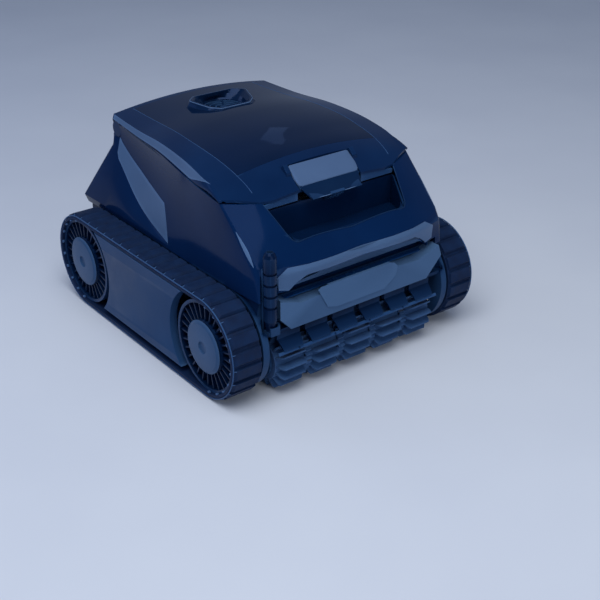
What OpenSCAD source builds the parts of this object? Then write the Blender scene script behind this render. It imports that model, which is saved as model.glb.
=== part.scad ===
// Robotic pool cleaner on two rubber tracks, as an assembly of separate pieces.
// X points to the right, Y to the rear and Z up; the origin is on the pool floor
// below the middle of the machine, and the brush is at the front (-Y).

/* [Tracks] */
// Width over both tracks
overall_w = 430; // [422:1:450]
// Distance between the front and rear wheel axles
wheel_base = 330; // [328:1:336]
// Radius of a track around its wheel, over the lugs
track_r = 75; // [74:0.5:77]
// Width of a rubber track
belt_w = 46; // [40:1:48]
// Thickness of the rubber track without its lugs
belt_t = 5; // [4:0.5:6]
// Height of the lugs on the track
lug_h = 4; // [3:0.5:5]
// Length of one lug along the track
lug_l = 18; // [12:1:19]
// Lugs around one full circle of track
lugs_per_turn = 20; // [16:2:24]
// Lugs along one straight run of track
lugs_per_run = 14; // [12:1:16]
// Height of the small cleats on the inner edge of the track
cleat_h = 3; // [2:0.5:4]

// Thickness of the guards between the wheels
guard_t = 12; // [8:1:14]
// Gap between a wheel and the round bay in the end of its guard
bay_gap = 14; // [4:1:18]
// Gap between the inside of the belt and the lower edge of the guard
guard_lift = 9.5; // [1:0.5:12]

/* [Wheels] */
// Gap between a wheel rim and the track around it
rim_clear = 0.3; // [0.2:0.1:0.6]
// Thickness of the wheel rim
rim_t = 4.5; // [3.5:0.5:6]
// Radius of the light hub cap
hub_cap_r = 31; // [29:1:32]
// Radius of the bevelled hub
hub_r = 38; // [36:1:40]
// Radial ribs on the face of a wheel
rib_count = 28; // [20:2:32]
// Radius of a wheel axle
axle_r = 10; // [9:0.5:11]
// Wall of the bush in a wheel
bush_t = 3; // [2.5:0.5:3.5]
// Radial clearance of shafts that turn
running_clear = 0.08; // [0.05:0.01:0.1]

/* [Gears] */
// Module of the gears
gear_m = 1.25; // [1.2:0.05:1.3]
// Teeth of the gear on a wheel
wheel_teeth = 48; // [44:4:48]
// Teeth of the gear on the brush
brush_teeth = 21; // [20:1:21]
// Teeth of the pinion on a traction motor
pinion_teeth = 14; // [12:1:16]
// Width of the gears
gear_w = 7; // [6:0.5:7]
// Play between meshing teeth
backlash = 0.3; // [0.2:0.05:0.5]

/* [Brush] */
// Radius of the brush core
core_r = 22; // [20:1:24]
// Radius over the tips of the paddles
brush_tip_r = 44; // [42:0.5:44]
// Gap between an end of the brush core and the side wall
brush_gap = 12; // [10:1:16]
// Thickness of a brush sleeve under its paddles
sleeve_t = 7; // [3:0.5:8]
// Columns of paddles along the brush
brush_columns = 5; // [4:1:6]
// Paddles around each column
paddles = 16; // [12:2:18]
// Thickness of a paddle
paddle_t = 2.6; // [2:0.2:3.2]
// Radius of the journals at the ends of the brush
journal_r = 6; // [5:0.5:7]

/* [Chassis] */
// Height of the floor of the machine above the pool floor
ground_clear = 36; // [34:1:40]
// Wall of the chassis tub
tub_wall = 4; // [3:0.5:5]
// Height of the deck, where the tub ends
deck_z = 145; // [143:1:146]
// Thickness of the side plates
side_plate_t = 5; // [4:0.5:5]
// Gap between the side plates and the gears
gear_gap = 1.5; // [1:0.25:2]
// Gap between the rim of the side plates and the tracks
frame_gap = 4; // [3:0.5:6]
// Radius of the side plates around the wheel axles
side_r = 70; // [68:0.5:71]
// Width of the suction inlet
inlet_w = 140; // [110:2:150]
// Length of the suction inlet, front to rear
inlet_l = 40; // [30:1:44]

/* [Shell] */
// Wall of the shell
shell_wall = 4; // [3:0.5:5]
// Gap between the lower edge of the shell and the tracks
skirt_gap = 3; // [2.5:0.5:5]
// How far the front corners of the lid stand in from the lower edge of the shell
lid_inset = 5; // [4:0.5:8]
// How much narrower the lid is on each side at its rear
lid_taper = 24; // [20:1:28]
// Height of the side edges of the lid at the rear
lid_edge_z = 292; // [288:1:296]
// Y of the rear edge of the lid
lid_rear_y = 173; // [171:1:176]
// Y of the front panel
nose_y = -232; // [-234:0.5:-230]
// Y of the lower rear edge of the shell
tail_y = 235; // [232:0.5:237]
// Height of the crease across the front panel
nose_crease_z = 192; // [188:1:196]

/* [Lid] */
// Thickness of the lid
lid_t = 3.6; // [3:0.2:4.4]
// Height of the bevel along the sides of the lid
bevel_h = 9; // [7:0.5:11]
// Width of the bevel along the sides of the lid
bevel_w = 3; // [2:0.5:4]
// Gap between the lid and the shell
lid_gap = 1.6; // [1.2:0.2:2.4]
// Width of the frame beside the window, at the rear
lid_frame_w = 22; // [18:1:30]
// Radius of the hinge pins
hinge_pin_r = 3; // [2.5:0.25:3.5]

/* [Outlet] */
// Y of the middle of the outlet
outlet_y = 86; // [84:1:88]
// Width of the bezel at its rear
bezel_w = 112; // [104:1:120]
// Height of the bezel above the pool floor
bezel_top_z = 313; // [310:0.5:316]
// Radius of the outlet throat
throat_r = 31; // [28:0.5:33]
// Radius of the impeller
impeller_r = 29.5; // [26:0.5:31]

// Width of a hinge knuckle
knuckle_w = 14; // [10:1:16]

/* [Latch] */
// Width of the latch cap
latch_w = 103; // [90:1:108]
// Radius of the latch pin
latch_pin_r = 2; // [1.5:0.25:2.5]

/* [Filter] */
// Gap between the filter basket and the side walls
basket_gap = 37; // [30:1:50]
// Height of the top of the filter basket
basket_top_z = 236; // [210:1:238]
// Width of the ribs of the basket
basket_rib = 6; // [5:0.5:8]

/* [Cable] */
// Radius of the bend relief of the cable
relief_r = 9; // [8.5:0.25:9.5]
// Radius of the hole for the cable
cable_r = 4.2; // [3.5:0.1:5]
// Height of the top of the bend relief
relief_top_z = 219; // [212:1:226]

/* [Hidden] */
$fn = 64;

// Places worked out from the sizes above
axle_y = wheel_base / 2;
axle_z = track_r;
side_x = overall_w / 2;
belt_in_x = side_x - belt_w;
belt_r = track_r - lug_h;
belt_in_r = belt_r - belt_t;
rim_r = belt_in_r - rim_clear;
cleat_w = 3.5;
wheel_in_x = belt_in_x + 1;
wheel_w = side_x - 0.5 - wheel_in_x;
rim_w = wheel_w - cleat_w - 1;
bush_r = axle_r + bush_t;
gear_out_x = belt_in_x - 0.5;
gear_in_x = gear_out_x - gear_w;
plate_out_x = gear_in_x - gear_gap;
tub_half_w = plate_out_x - side_plate_t;
frame_out_x = belt_in_x - frame_gap;
brush_len = 2 * (tub_half_w - brush_gap);
flange_t = 4;
flange_r = axle_r + 6;
wheel_pitch_r = gear_m * wheel_teeth / 2;
brush_pitch_r = gear_m * brush_teeth / 2;
pinion_pitch_r = gear_m * pinion_teeth / 2;
// Direction from the front axle down to the brush, and from the rear axle to the pinion
brush_dir = 180 + 44;
pinion_dir = 180 - 50;
brush_y = -axle_y + (wheel_pitch_r + brush_pitch_r) * cos(brush_dir);
brush_z = axle_z + (wheel_pitch_r + brush_pitch_r) * sin(brush_dir);
pinion_y = axle_y + (wheel_pitch_r + pinion_pitch_r) * cos(pinion_dir);
pinion_z = axle_z + (wheel_pitch_r + pinion_pitch_r) * sin(pinion_dir);
arch_r = brush_tip_r + 5;
bearing_r = journal_r + 4;
motor_shaft_r = 4;
motor_r = 18;
floor_z = ground_clear + tub_wall;
inlet_y = -64;
skirt_half_w = belt_in_x - skirt_gap;
front_half_w = skirt_half_w - lid_inset;
rear_half_w = front_half_w - lid_taper;
window_half_w = rear_half_w - lid_frame_w;
basket_half_w = tub_half_w - basket_gap;
lid_front_y = nose_y + 67;
corner_front_y = nose_y + 92;
rim_rear_z = lid_edge_z - 35.5;
hinge_y = lid_rear_y - 11;
hinge_z = lid_edge_z - 20;
hinge_x = window_half_w - 45;
knuckle_x = hinge_x + 14;
bracket_xs = [hinge_x + 2, knuckle_x + knuckle_w + 1];
bracket_w = 11;
// The skirt of the lid ends high enough to swing past the rim of the shell
skirt_z = rim_rear_z + 3.4;
latch_y = lid_front_y + 22;
latch_z = lid_edge_z - 16;
duct_r = throat_r + 4;
duct_top_z = lid_edge_z - 2;
duct_bottom_z = lid_edge_z - 56;
housing_top_z = duct_bottom_z - 14;
housing_y0 = outlet_y - 44;
housing_y1 = outlet_y + 44;
housing_half_w = 52;
basket_y0 = -128;
basket_y1 = housing_y0 - 14;
basket_z0 = floor_z + 22;
relief_x = -(tub_half_w - 7);
relief_y = nose_y + 4;
// Top of the lip over the brush, which the bumper and the gland stand on
lip_top_z = brush_z + brush_tip_r + 13;
relief_bottom_z = lip_top_z + 4;
channel_r = relief_r + 3.8;
screw_r = 2.5;
deck_screw_x = tub_half_w - 25;
deck_screw_y = [-40, tail_y - 27];

grip_top_z = nose_crease_z - 18;
shell_cut_y = corner_front_y - 10;

// Height of the side edge of the lid and its extra height in the middle, along Y
edge_drop = [[corner_front_y - 46, 64], [lid_front_y, 45], [corner_front_y - 3, 30],
    [corner_front_y + 15, 22], [corner_front_y + 67, 8], [12, 0], [94, 2], [lid_rear_y, 0]];
crown_rise = [[lid_front_y, 15], [corner_front_y, 18], [-73, 16], [90, 15], [lid_rear_y, 11]];
function edge_z(y) = lid_edge_z - lookup(y, edge_drop);
function crown(y) = lookup(y, crown_rise);
function half_w(y) = rear_half_w
    + (front_half_w - rear_half_w) * (lid_rear_y - y) / (lid_rear_y - corner_front_y);
function lid_z(x, y) = edge_z(y) + crown(y) * (1 - pow(x / half_w(y), 2));

// One closed solid between two grids of points: rows of the same length, one behind the other
module sheet(top, bottom) {
    rows = len(top);
    cols = len(top[0]);
    all_points = concat([for (r = top) for (p = r) p], [for (r = bottom) for (p = r) p]);
    under = rows * cols;
    function at(r, c) = r * cols + c;
    function quad(a, b, c, d) = [[a, b, c], [a, c, d]];
    cells = [for (r = [0:rows - 2]) for (c = [0:cols - 2]) [r, c]];
    top_faces = [for (k = cells)
        each quad(at(k[0], k[1]), at(k[0], k[1] + 1), at(k[0] + 1, k[1] + 1), at(k[0] + 1, k[1]))];
    low_faces = [for (k = cells)
        each quad(under + at(k[0], k[1]), under + at(k[0] + 1, k[1]),
            under + at(k[0] + 1, k[1] + 1), under + at(k[0], k[1] + 1))];
    rim_path = concat([for (c = [0:cols - 1]) at(0, c)], [for (r = [1:rows - 1]) at(r, cols - 1)],
        [for (c = [cols - 2:-1:0]) at(rows - 1, c)], [for (r = [rows - 2:-1:1]) at(r, 0)]);
    sides = [for (i = [0:len(rim_path) - 1])
        let(a = rim_path[i], b = rim_path[(i + 1) % len(rim_path)])
        each quad(b, a, under + a, under + b)];
    polyhedron(points = all_points, faces = concat(top_faces, low_faces, sides), convexity = 8);
}

// One closed solid between two stacks of rings around Z, as a band with an inner and an outer face
module band(outer, inner) {
    levels = len(outer);
    n = len(outer[0]);
    all_points = concat([for (r = outer) for (p = r) p], [for (r = inner) for (p = r) p]);
    ins = levels * n;
    function at(l, i) = l * n + i % n;
    function quad(a, b, c, d) = [[a, b, c], [a, c, d]];
    cells = [for (l = [0:levels - 2]) for (i = [0:n - 1]) [l, i]];
    outside = [for (k = cells)
        each quad(at(k[0], k[1]), at(k[0] + 1, k[1]), at(k[0] + 1, k[1] + 1), at(k[0], k[1] + 1))];
    inside = [for (k = cells)
        each quad(ins + at(k[0], k[1]), ins + at(k[0], k[1] + 1),
            ins + at(k[0] + 1, k[1] + 1), ins + at(k[0] + 1, k[1]))];
    low_rim = [for (i = [0:n - 1]) each quad(at(0, i), at(0, i + 1), ins + at(0, i + 1), ins + at(0, i))];
    top = levels - 1;
    top_rim = [for (i = [0:n - 1])
        each quad(ins + at(top, i), ins + at(top, i + 1), at(top, i + 1), at(top, i))];
    polyhedron(points = all_points, faces = concat(outside, inside, low_rim, top_rim), convexity = 8);
}

// One closed solid through a stack of rings around Z, with a middle point in each end
module stack(rings) {
    levels = len(rings);
    n = len(rings[0]);
    function middle(ring) = [for (k = [0:2]) [for (p = ring) p[k]] * [for (p = ring) 1] / n];
    all_points = concat([for (r = rings) for (p = r) p], [middle(rings[0]), middle(rings[levels - 1])]);
    last = levels * n;
    function at(l, i) = l * n + i % n;
    outside = [for (l = [0:levels - 2]) for (i = [0:n - 1]) each
        [[at(l, i), at(l + 1, i), at(l + 1, i + 1)], [at(l, i), at(l + 1, i + 1), at(l, i + 1)]]];
    ends = [for (i = [0:n - 1]) each
        [[last, at(0, i), at(0, i + 1)], [last + 1, at(levels - 1, i + 1), at(levels - 1, i)]]];
    polyhedron(points = all_points, faces = concat(outside, ends), convexity = 8);
}

// Extrude an outline drawn in Y and Z along X, from x0 to x1
module along_x(x0, x1) {
    translate([x0, 0, 0]) rotate([90, 0, 90]) linear_extrude(height = x1 - x0) children();
}

// Extrude an outline drawn in X and Z along Y, from y0 to y1
module along_y(y0, y1) {
    translate([0, y1, 0]) rotate([90, 0, 0]) linear_extrude(height = y1 - y0) children();
}

// A cylinder along X from x0 to x1, around the line at (y, z)
module rod_x(x0, x1, y, z, r) {
    translate([x0, y, z]) rotate([0, 90, 0]) cylinder(h = x1 - x0, r = r);
}

// A cylinder along Z from z0 to z1
module rod_z(x, y, z0, z1, r) {
    translate([x, y, z0]) cylinder(h = z1 - z0, r = r);
}

// A box between two corners
module block(low, high) {
    translate(low) cube(high - low);
}

// Right side as drawn, left side as its mirror image
module on_side(s) {
    if (s > 0) children();
    else mirror([1, 0, 0]) children();
}

// Outline of a track loop of a given radius, in Y and Z
module loop_2d(r) {
    translate([-axle_y, axle_z]) circle(r);
    translate([axle_y, axle_z]) circle(r);
    translate([-axle_y, axle_z - r]) square([wheel_base, 2 * r]);
}

// Involute gear outline with a tooth centred on the +X axis
function involute(a) = tan(a) * 180 / PI - a;
module gear_2d(teeth) {
    pitch_r = gear_m * teeth / 2;
    base_r = pitch_r * cos(20);
    root_r = pitch_r - 1.25 * gear_m;
    tip_r = pitch_r + 0.9 * gear_m;
    half = 90 / teeth - backlash / pitch_r * 90 / PI;
    start_r = max(base_r, root_r);
    function flank(r) = half + involute(20) - (r > base_r ? involute(acos(base_r / r)) : 0);
    radii = concat([root_r], [for (k = [0:3]) start_r + 0.01 + (tip_r - start_r - 0.01) * k / 3]);
    polygon([for (i = [0:teeth - 1]) let(c = 360 * i / teeth)
        each concat([for (r = radii) r * [cos(c - flank(r)), sin(c - flank(r))]],
            [for (k = [len(radii) - 1:-1:0]) let(r = radii[k])
                r * [cos(c + flank(r)), sin(c + flank(r))]])]);
}

// ---- Tub and side plates ----

module tub_outline() {
    difference() {
        polygon([[tail_y - 11, deck_z], [tail_y - 11, 84], [tail_y - 39, ground_clear],
            [brush_y + arch_r + 3, ground_clear], [brush_y + 24, brush_z], [brush_y, brush_z + 30],
            [nose_y + 4, lip_top_z - 5], [nose_y + 4, lip_top_z],
            [nose_y + 17, lip_top_z], [nose_y + 17, deck_z]]);
        translate([brush_y, brush_z]) circle(arch_r);
    }
}

module tub_inside() {
    w = tub_wall;
    difference() {
        polygon([[tail_y - 11 - w, deck_z + 1], [tail_y - 11 - w, 84 + w / 2],
            [tail_y - 39 - w / 2, floor_z], [brush_y + arch_r, floor_z], [brush_y + 24, brush_z],
            [brush_y, brush_z + 30], [nose_y + 17 + w, lip_top_z], [nose_y + 17 + w, deck_z + 1]]);
        translate([brush_y, brush_z]) circle(arch_r + w);
    }
}

hood_panels = 6;
hood_pitch = 2 * (tub_half_w - 14) / hood_panels;

module chassis() color("#10141c") {
    difference() {
        union() {
            along_x(-tub_half_w, tub_half_w) difference() {
                tub_outline();
                tub_inside();
            }
            // Light panels of the hood over the brush
            for (i = [0:hood_panels - 1])
                translate([(i - (hood_panels - 1) / 2) * hood_pitch, 0, 0])
                    block([-19, nose_y + 6, lip_top_z - 15], [19, nose_y + 12, lip_top_z]);
            // Bosses for the deck screws
            for (x = [-1, 1] * deck_screw_x) for (y = deck_screw_y) rod_z(x, y, floor_z - 1, deck_z, 7);
        }
        block([-inlet_w / 2, inlet_y - inlet_l / 2, ground_clear - 1],
            [inlet_w / 2, inlet_y + inlet_l / 2, floor_z + 1]);
        for (x = [-1, 1] * deck_screw_x) for (y = deck_screw_y) rod_z(x, y, deck_z - 16, deck_z + 1, screw_r);
        gland_column(0.2);
    }
}

module side_frame(s) color("#39414f") on_side(s) difference() {
    union() {
        along_x(tub_half_w, plate_out_x) {
            loop_2d(side_r);
            tub_outline();
        }
        along_x(plate_out_x, frame_out_x) difference() {
            loop_2d(side_r);
            loop_2d(side_r - 4);
        }
    }
    for (y = [-axle_y, axle_y]) rod_x(tub_half_w - 1, plate_out_x + 1, y, axle_z, axle_r);
    rod_x(tub_half_w - 1, plate_out_x + 1, brush_y, brush_z, bearing_r);
    rod_x(tub_half_w - 1, plate_out_x + 1, pinion_y, pinion_z, motor_shaft_r + 0.6);
    for (side = [-1, 1]) mirror([side > 0 ? 0 : 1, 0, 0]) gland_column(0.2);
}

module wheel_axles() color("#8b929e") for (s = [-1, 1]) on_side(s) for (y = [-axle_y, axle_y]) difference() {
    union() {
        // The front flanges are cut round to fit the tunnel of the brush
        intersection() {
            rod_x(tub_half_w - flange_t, tub_half_w, y, axle_z, flange_r);
            rod_x(tub_half_w - flange_t, tub_half_w, y < 0 ? brush_y : y, y < 0 ? brush_z : axle_z,
                arch_r - 0.3);
        }
        rod_x(tub_half_w, side_x - 9, y, axle_z, axle_r);
    }
    rod_x(side_x - 30, side_x - 8, y, axle_z, screw_r);
}

// Screws in the ends of the axles, and between the shell and the deck
module frame_screws() color("#b9bec6") {
    for (s = [-1, 1]) on_side(s) for (y = [-axle_y, axle_y]) {
        rod_x(side_x - 28, side_x - 9, y, axle_z, screw_r);
        rod_x(side_x - 9, side_x - 5.5, y, axle_z, axle_r + 1.5);
    }
    for (x = [-1, 1] * deck_screw_x) for (y = deck_screw_y) {
        rod_z(x, y, deck_z - 15, deck_z + 3, screw_r);
        rod_z(x, y, deck_z + 3, deck_z + 6, screw_r + 2);
    }
}

module brush_bearings() color("#c9ccd2") for (s = [-1, 1]) on_side(s) difference() {
    union() {
        rod_x(tub_half_w - 2, tub_half_w, brush_y, brush_z, bearing_r + 3);
        rod_x(tub_half_w, plate_out_x, brush_y, brush_z, bearing_r);
    }
    rod_x(tub_half_w - 3, plate_out_x + 1, brush_y, brush_z, journal_r + running_clear);
}

// ---- Tracks ----

module lug() {
    polygon([[-lug_l / 2 - 0.8, belt_r - 0.6], [-lug_l / 2 + 0.8, track_r],
        [lug_l / 2 - 0.8, track_r], [lug_l / 2 + 0.8, belt_r - 0.6]]);
}

module track(s) color("#151a22") on_side(s) {
    turn = 360 / lugs_per_turn;
    difference() {
        union() {
            along_x(belt_in_x, side_x) difference() {
                loop_2d(belt_r);
                loop_2d(belt_in_r);
            }
            along_x(belt_in_x + 1.5, side_x - 1.5) {
                for (e = [-1, 1]) for (k = [0:lugs_per_turn / 2 - 1])
                    translate([e * axle_y, axle_z]) rotate(-e * (k + 0.5) * turn) intersection() {
                        lug();
                        circle(track_r);
                    }
                for (j = [0:lugs_per_run - 1]) for (a = [0, 180])
                    translate([0, axle_z]) rotate(a)
                        translate([(j + 0.5) * wheel_base / lugs_per_run - axle_y, 0]) lug();
            }
            // Small cleats inside the outer edge
            along_x(side_x - cleat_w, side_x - 0.5) for (e = [-1, 1])
                for (k = [0:lugs_per_turn / 2 - 1]) translate([e * axle_y, axle_z])
                    rotate(-e * (k + 0.5) * turn)
                        translate([-2, belt_in_r - cleat_h]) square([4, cleat_h + 0.5]);
        }
    }
}

module track_guard(s) color("#66758c") on_side(s) {
    inner_x = side_x - guard_t;
    along_x(inner_x, side_x) difference() {
        translate([-axle_y + 26, axle_z - belt_in_r + guard_lift])
            square([wheel_base - 52, 2 * belt_in_r - guard_lift - 1]);
        for (y = [-axle_y, axle_y]) translate([y, axle_z]) circle(rim_r + bay_gap);
    }
    for (y = [-60, 60]) difference() {
        rod_x(plate_out_x, inner_x, y, axle_z, 9);
        rod_x(plate_out_x - 1, plate_out_x + 20, y, axle_z, screw_r);
    }
}

// ---- Wheels: drawn around Z with the inner face at 0, then turned on to their axle ----

module place_wheel(s, y) on_side(s) translate([wheel_in_x, y, axle_z]) rotate([90, 0, 90]) children();

module wheel_shape() {
    web0 = rim_w - 17;
    web1 = rim_w - 11;
    cap_seat = wheel_w - 3;
    difference() {
        union() {
            rotate_extrude($fn = 128) polygon([
                [0, 0], [hub_r - 8, 0], [hub_r - 8, web0], [rim_r - rim_t, web0],
                [rim_r - rim_t, 0], [rim_r, 0], [rim_r, rim_w], [rim_r - rim_t, rim_w],
                [rim_r - rim_t, web1], [hub_r, web1], [hub_r, rim_w - 3],
                [hub_cap_r + 1.5, wheel_w], [hub_cap_r, wheel_w], [hub_cap_r, cap_seat], [0, cap_seat]]);
            for (i = [0:rib_count - 1]) rotate(360 * i / rib_count)
                block([hub_r - 1, -1.1, web1 - 1], [rim_r - rim_t + 1, 1.1, rim_w - 2]);
            // Gear moulded on the inner face
            translate([0, 0, gear_in_x - wheel_in_x]) linear_extrude(height = gear_w) gear_2d(wheel_teeth);
            translate([0, 0, gear_in_x - wheel_in_x]) cylinder(h = wheel_in_x - gear_in_x + 1,
                r = hub_r - 12);
        }
        translate([0, 0, gear_in_x - wheel_in_x - 1]) cylinder(h = wheel_w + 10, r = bush_r);
        translate([0, 0, wheel_w - 9.5]) cylinder(h = 10, r = bush_r + 3);
    }
}

module wheel(s, y) color("#2b3342") place_wheel(s, y) wheel_shape();

module hub_cap(s, y) color("#8fa0b8") place_wheel(s, y) difference() {
    translate([0, 0, wheel_w - 3]) cylinder(h = 3, r = hub_cap_r);
    translate([0, 0, wheel_w - 1.4]) cylinder(h = 2, r = 9);
}

module wheel_bush(s, y) color("#d8dadf") place_wheel(s, y) difference() {
    translate([0, 0, gear_in_x - wheel_in_x]) cylinder(h = side_x - 9.5 - gear_in_x, r = bush_r);
    translate([0, 0, gear_in_x - wheel_in_x - 1]) cylinder(h = wheel_w + 10, r = axle_r + running_clear);
}

module drive_pinion(s) color("#b4b9c2") on_side(s) {
    turn = pinion_dir + 180 + 180 / pinion_teeth
        - pinion_dir_phase * wheel_teeth / pinion_teeth;
    translate([gear_in_x, pinion_y, pinion_z]) rotate([90, 0, 90]) linear_extrude(height = gear_w)
        rotate(turn) gear_2d(pinion_teeth);
    rod_x(tub_half_w - 24, gear_in_x + 1, pinion_y, pinion_z, motor_shaft_r);
}

// Angle from the wheel's nearest tooth to the line of centres, for the two meshes
function tooth_phase(dir) = dir - round(dir * wheel_teeth / 360) * 360 / wheel_teeth;
pinion_dir_phase = -tooth_phase(pinion_dir);
brush_dir_phase = -tooth_phase(brush_dir);

// ---- Brush ----

module brush_core() color("#23262e") difference() {
    union() {
        rod_x(-brush_len / 2, brush_len / 2, brush_y, brush_z, core_r);
        rod_x(-gear_out_x, plate_out_x, brush_y, brush_z, journal_r);
    }
    for (i = [0:brush_columns - 1]) for (a = [0:90:270])
        translate([(i - (brush_columns - 1) / 2) * brush_len / brush_columns, brush_y, brush_z])
            rotate([a + 20, 0, 0]) translate([0, 0, core_r - 5]) cylinder(h = 6, r = 2.2, $fn = 24);
}

module brush_sleeves() color("#8d86a5") for (i = [0:brush_columns - 1]) {
    pitch = brush_len / brush_columns;
    x_mid = (i - (brush_columns - 1) / 2) * pitch;
    step = 360 / paddles;
    along_x(x_mid - pitch / 2 + 4, x_mid + pitch / 2 - 4) translate([brush_y, brush_z]) difference() {
        union() {
            circle(core_r + sleeve_t);
            for (k = [0:paddles - 1]) rotate((k + (i % 2) / 2) * step)
                translate([core_r + 1, -paddle_t / 2]) square([brush_tip_r - core_r - 1.1, paddle_t]);
        }
        circle(core_r);
    }
}

module brush_gear() color("#c9ccd2") {
    turn = brush_dir + 180 + 180 / brush_teeth - brush_dir_phase * wheel_teeth / brush_teeth;
    mirror([1, 0, 0]) translate([gear_in_x, brush_y, brush_z]) rotate([90, 0, 90])
        linear_extrude(height = gear_w) difference() {
            rotate(turn) gear_2d(brush_teeth);
            circle(journal_r);
        }
}

// ---- Shell ----

rim_z_side = bevel_h + lid_gap;
function rim_point(y) = [half_w(y) + bevel_w, y, edge_z(y) - rim_z_side];
// Rings of the shell from its lower edge to its rim: front middle, front quarter, front corner,
// side front, side middle, side rear, side end, shoulder beside the hinge, rear corner, rear middle
shell_rings = [
    [[0, nose_y, deck_z + 1], [window_half_w - 5, nose_y, deck_z + 1], [skirt_half_w - 5, nose_y + 9,
        deck_z + 1],
        [skirt_half_w, nose_y + 122, deck_z + 2], [skirt_half_w, -9, deck_z + 2],
        [skirt_half_w, 110, deck_z + 2], [skirt_half_w, 160, deck_z + 1], [skirt_half_w, 200, deck_z - 1],
        [skirt_half_w - 2, tail_y - 3, deck_z - 4], [0, tail_y, deck_z - 4]],
    [[0, nose_y - 3, nose_crease_z - 10], [window_half_w - 7, nose_y - 3, nose_crease_z - 10],
        [skirt_half_w - 5, nose_y + 14, nose_crease_z - 14], [skirt_half_w - 1, nose_y + 122, deck_z + 20],
        [skirt_half_w, -8.5, deck_z + 7], [skirt_half_w + 1, 110, deck_z + 9],
        [skirt_half_w + 1.5, 160, deck_z + 9], [skirt_half_w + 2, 200, deck_z + 8.5],
        [skirt_half_w + 2, tail_y, deck_z + 8], [0, tail_y + 2, deck_z + 8]],
    [[0, nose_y, nose_crease_z], [window_half_w - 15, nose_y, nose_crease_z],
        [skirt_half_w - 5, nose_y + 21, nose_crease_z - 1], [skirt_half_w - 3, nose_y + 122, nose_crease_z],
        [skirt_half_w - 2, -8, deck_z + 11], [rear_half_w + 20, 90, deck_z + 62],
        [rear_half_w + 12.5, lid_rear_y - 18, deck_z + 97], [rear_half_w + 11, lid_rear_y - 5, deck_z + 104],
        [rear_half_w + 10, lid_rear_y, rim_rear_z - 7], [0, lid_rear_y + 7, rim_rear_z - 4]],
    [[0, nose_y + 18, nose_crease_z + 17], [window_half_w - 17, nose_y + 17, nose_crease_z + 17],
        [skirt_half_w - 5, nose_y + 40, nose_crease_z + 19], [skirt_half_w - 5, nose_y + 130,
            nose_crease_z + 34],
        [rear_half_w + 14, 12, deck_z + 61], [rear_half_w + 6.5, 88, deck_z + 96],
        [rear_half_w + 3, lid_rear_y - 23, deck_z + 121], [rear_half_w + 3.5, hinge_y + 7, hinge_z - 4],
        [rear_half_w + 4, lid_rear_y + 0.5, rim_rear_z - 3],
        [0, lid_rear_y + 6, rim_rear_z - 2]],
    [[0, lid_front_y - 2, edge_z(lid_front_y) + 4], [window_half_w, lid_front_y - 1, edge_z(lid_front_y) - 2],
        [half_w(corner_front_y) + bevel_w, corner_front_y - 1, edge_z(corner_front_y) - rim_z_side],
        rim_point(-73), rim_point(12), rim_point(94), rim_point(hinge_y - 4),
        [rear_half_w + bevel_w, hinge_y + 7, hinge_z + 6],
        [rear_half_w + bevel_w, lid_rear_y - 0.5, rim_rear_z], [0, lid_rear_y + 4, rim_rear_z]]];
wall_x = [0, 0, 1, 1, 1, 1, 1, 1, 1, 0];
wall_y = [1, 1, 1, 0, 0, 0, 0, 0, -1, -1];
function grown(ring, g) = [for (i = [0:9]) [ring[i][0] + g * wall_x[i], ring[i][1] - g * wall_y[i],
    ring[i][2]]];
function whole(ring) = concat(ring, [for (i = [8:-1:1]) [-ring[i][0], ring[i][1], ring[i][2]]]);
function shell_stack(g) = [for (r = shell_rings) whole(grown(r, g))];

// Outline of the recess under the latch, seen from above
module latch_recess_2d(grow) {
    r = 12;
    y0 = nose_y + 18 - grow;
    bottom_w = window_half_w - 17 + grow;
    difference() {
        polygon([[-window_half_w - grow, lid_front_y + 4 + grow], [window_half_w + grow,
            lid_front_y + 4 + grow],
            [bottom_w, y0], [-bottom_w, y0]]);
        for (s = [-1, 1]) difference() {
            translate([s * (bottom_w - r / 2), y0 + r / 2]) square([r + 0.1, r + 0.1], center = true);
            translate([s * (bottom_w - r + 1), y0 + r]) circle(r);
        }
    }
}

// Outline of the hand grip in the front panel, in X and Z
// The ends dip under the two legs of the panel over the grip
module grip_2d(grow) {
    top_w = tub_half_w - 61;
    side_w = tub_half_w - 9;
    half = [[top_w, grip_top_z], [top_w + 16, grip_top_z - 8.5], [top_w + 26, grip_top_z - 17.5],
        [side_w, grip_top_z - 16], [side_w, deck_z - 5]];
    offset(delta = grow) polygon(concat(half, [for (i = [4:-1:0]) [-half[i][0], half[i][1]]]));
}

// The whole shell, which the nodes below take in three mouldings
module shell_body() difference() {
    union() {
        band(shell_stack(0), shell_stack(-shell_wall));
        // Tabs screwed to the deck
        for (s = [-1, 1]) on_side(s) for (y = deck_screw_y)
            block([deck_screw_x - 9, y - 8, deck_z], [skirt_half_w - shell_wall / 2, y + 8, deck_z + 3]);
    }
    for (x = [-1, 1] * deck_screw_x) for (y = deck_screw_y) rod_z(x, y, deck_z - 1, deck_z + 4, screw_r);
    translate([0, 0, nose_crease_z + 3]) linear_extrude(height = 100) latch_recess_2d(0);
    along_y(nose_y - 20, nose_y + 24) grip_2d(0);
    gland_column(0);
}

module shell_front() color("#121826") intersection() {
    shell_body();
    block([-side_x, nose_y - 20, 0], [side_x, shell_cut_y, bezel_top_z]);
}

// The right moulding and its mirror image, which meet behind the outlet
module shell_half(s) color("#121826") intersection() {
    shell_body();
    on_side(s) block([0, shell_cut_y, 0], [side_x, tail_y + 20, bezel_top_z]);
}

// Space for the gland and its column, in front of the left corner
module gland_column(gap) {
    rod_z(relief_x, relief_y, lip_top_z, relief_top_z + 2, channel_r + gap);
}

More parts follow.
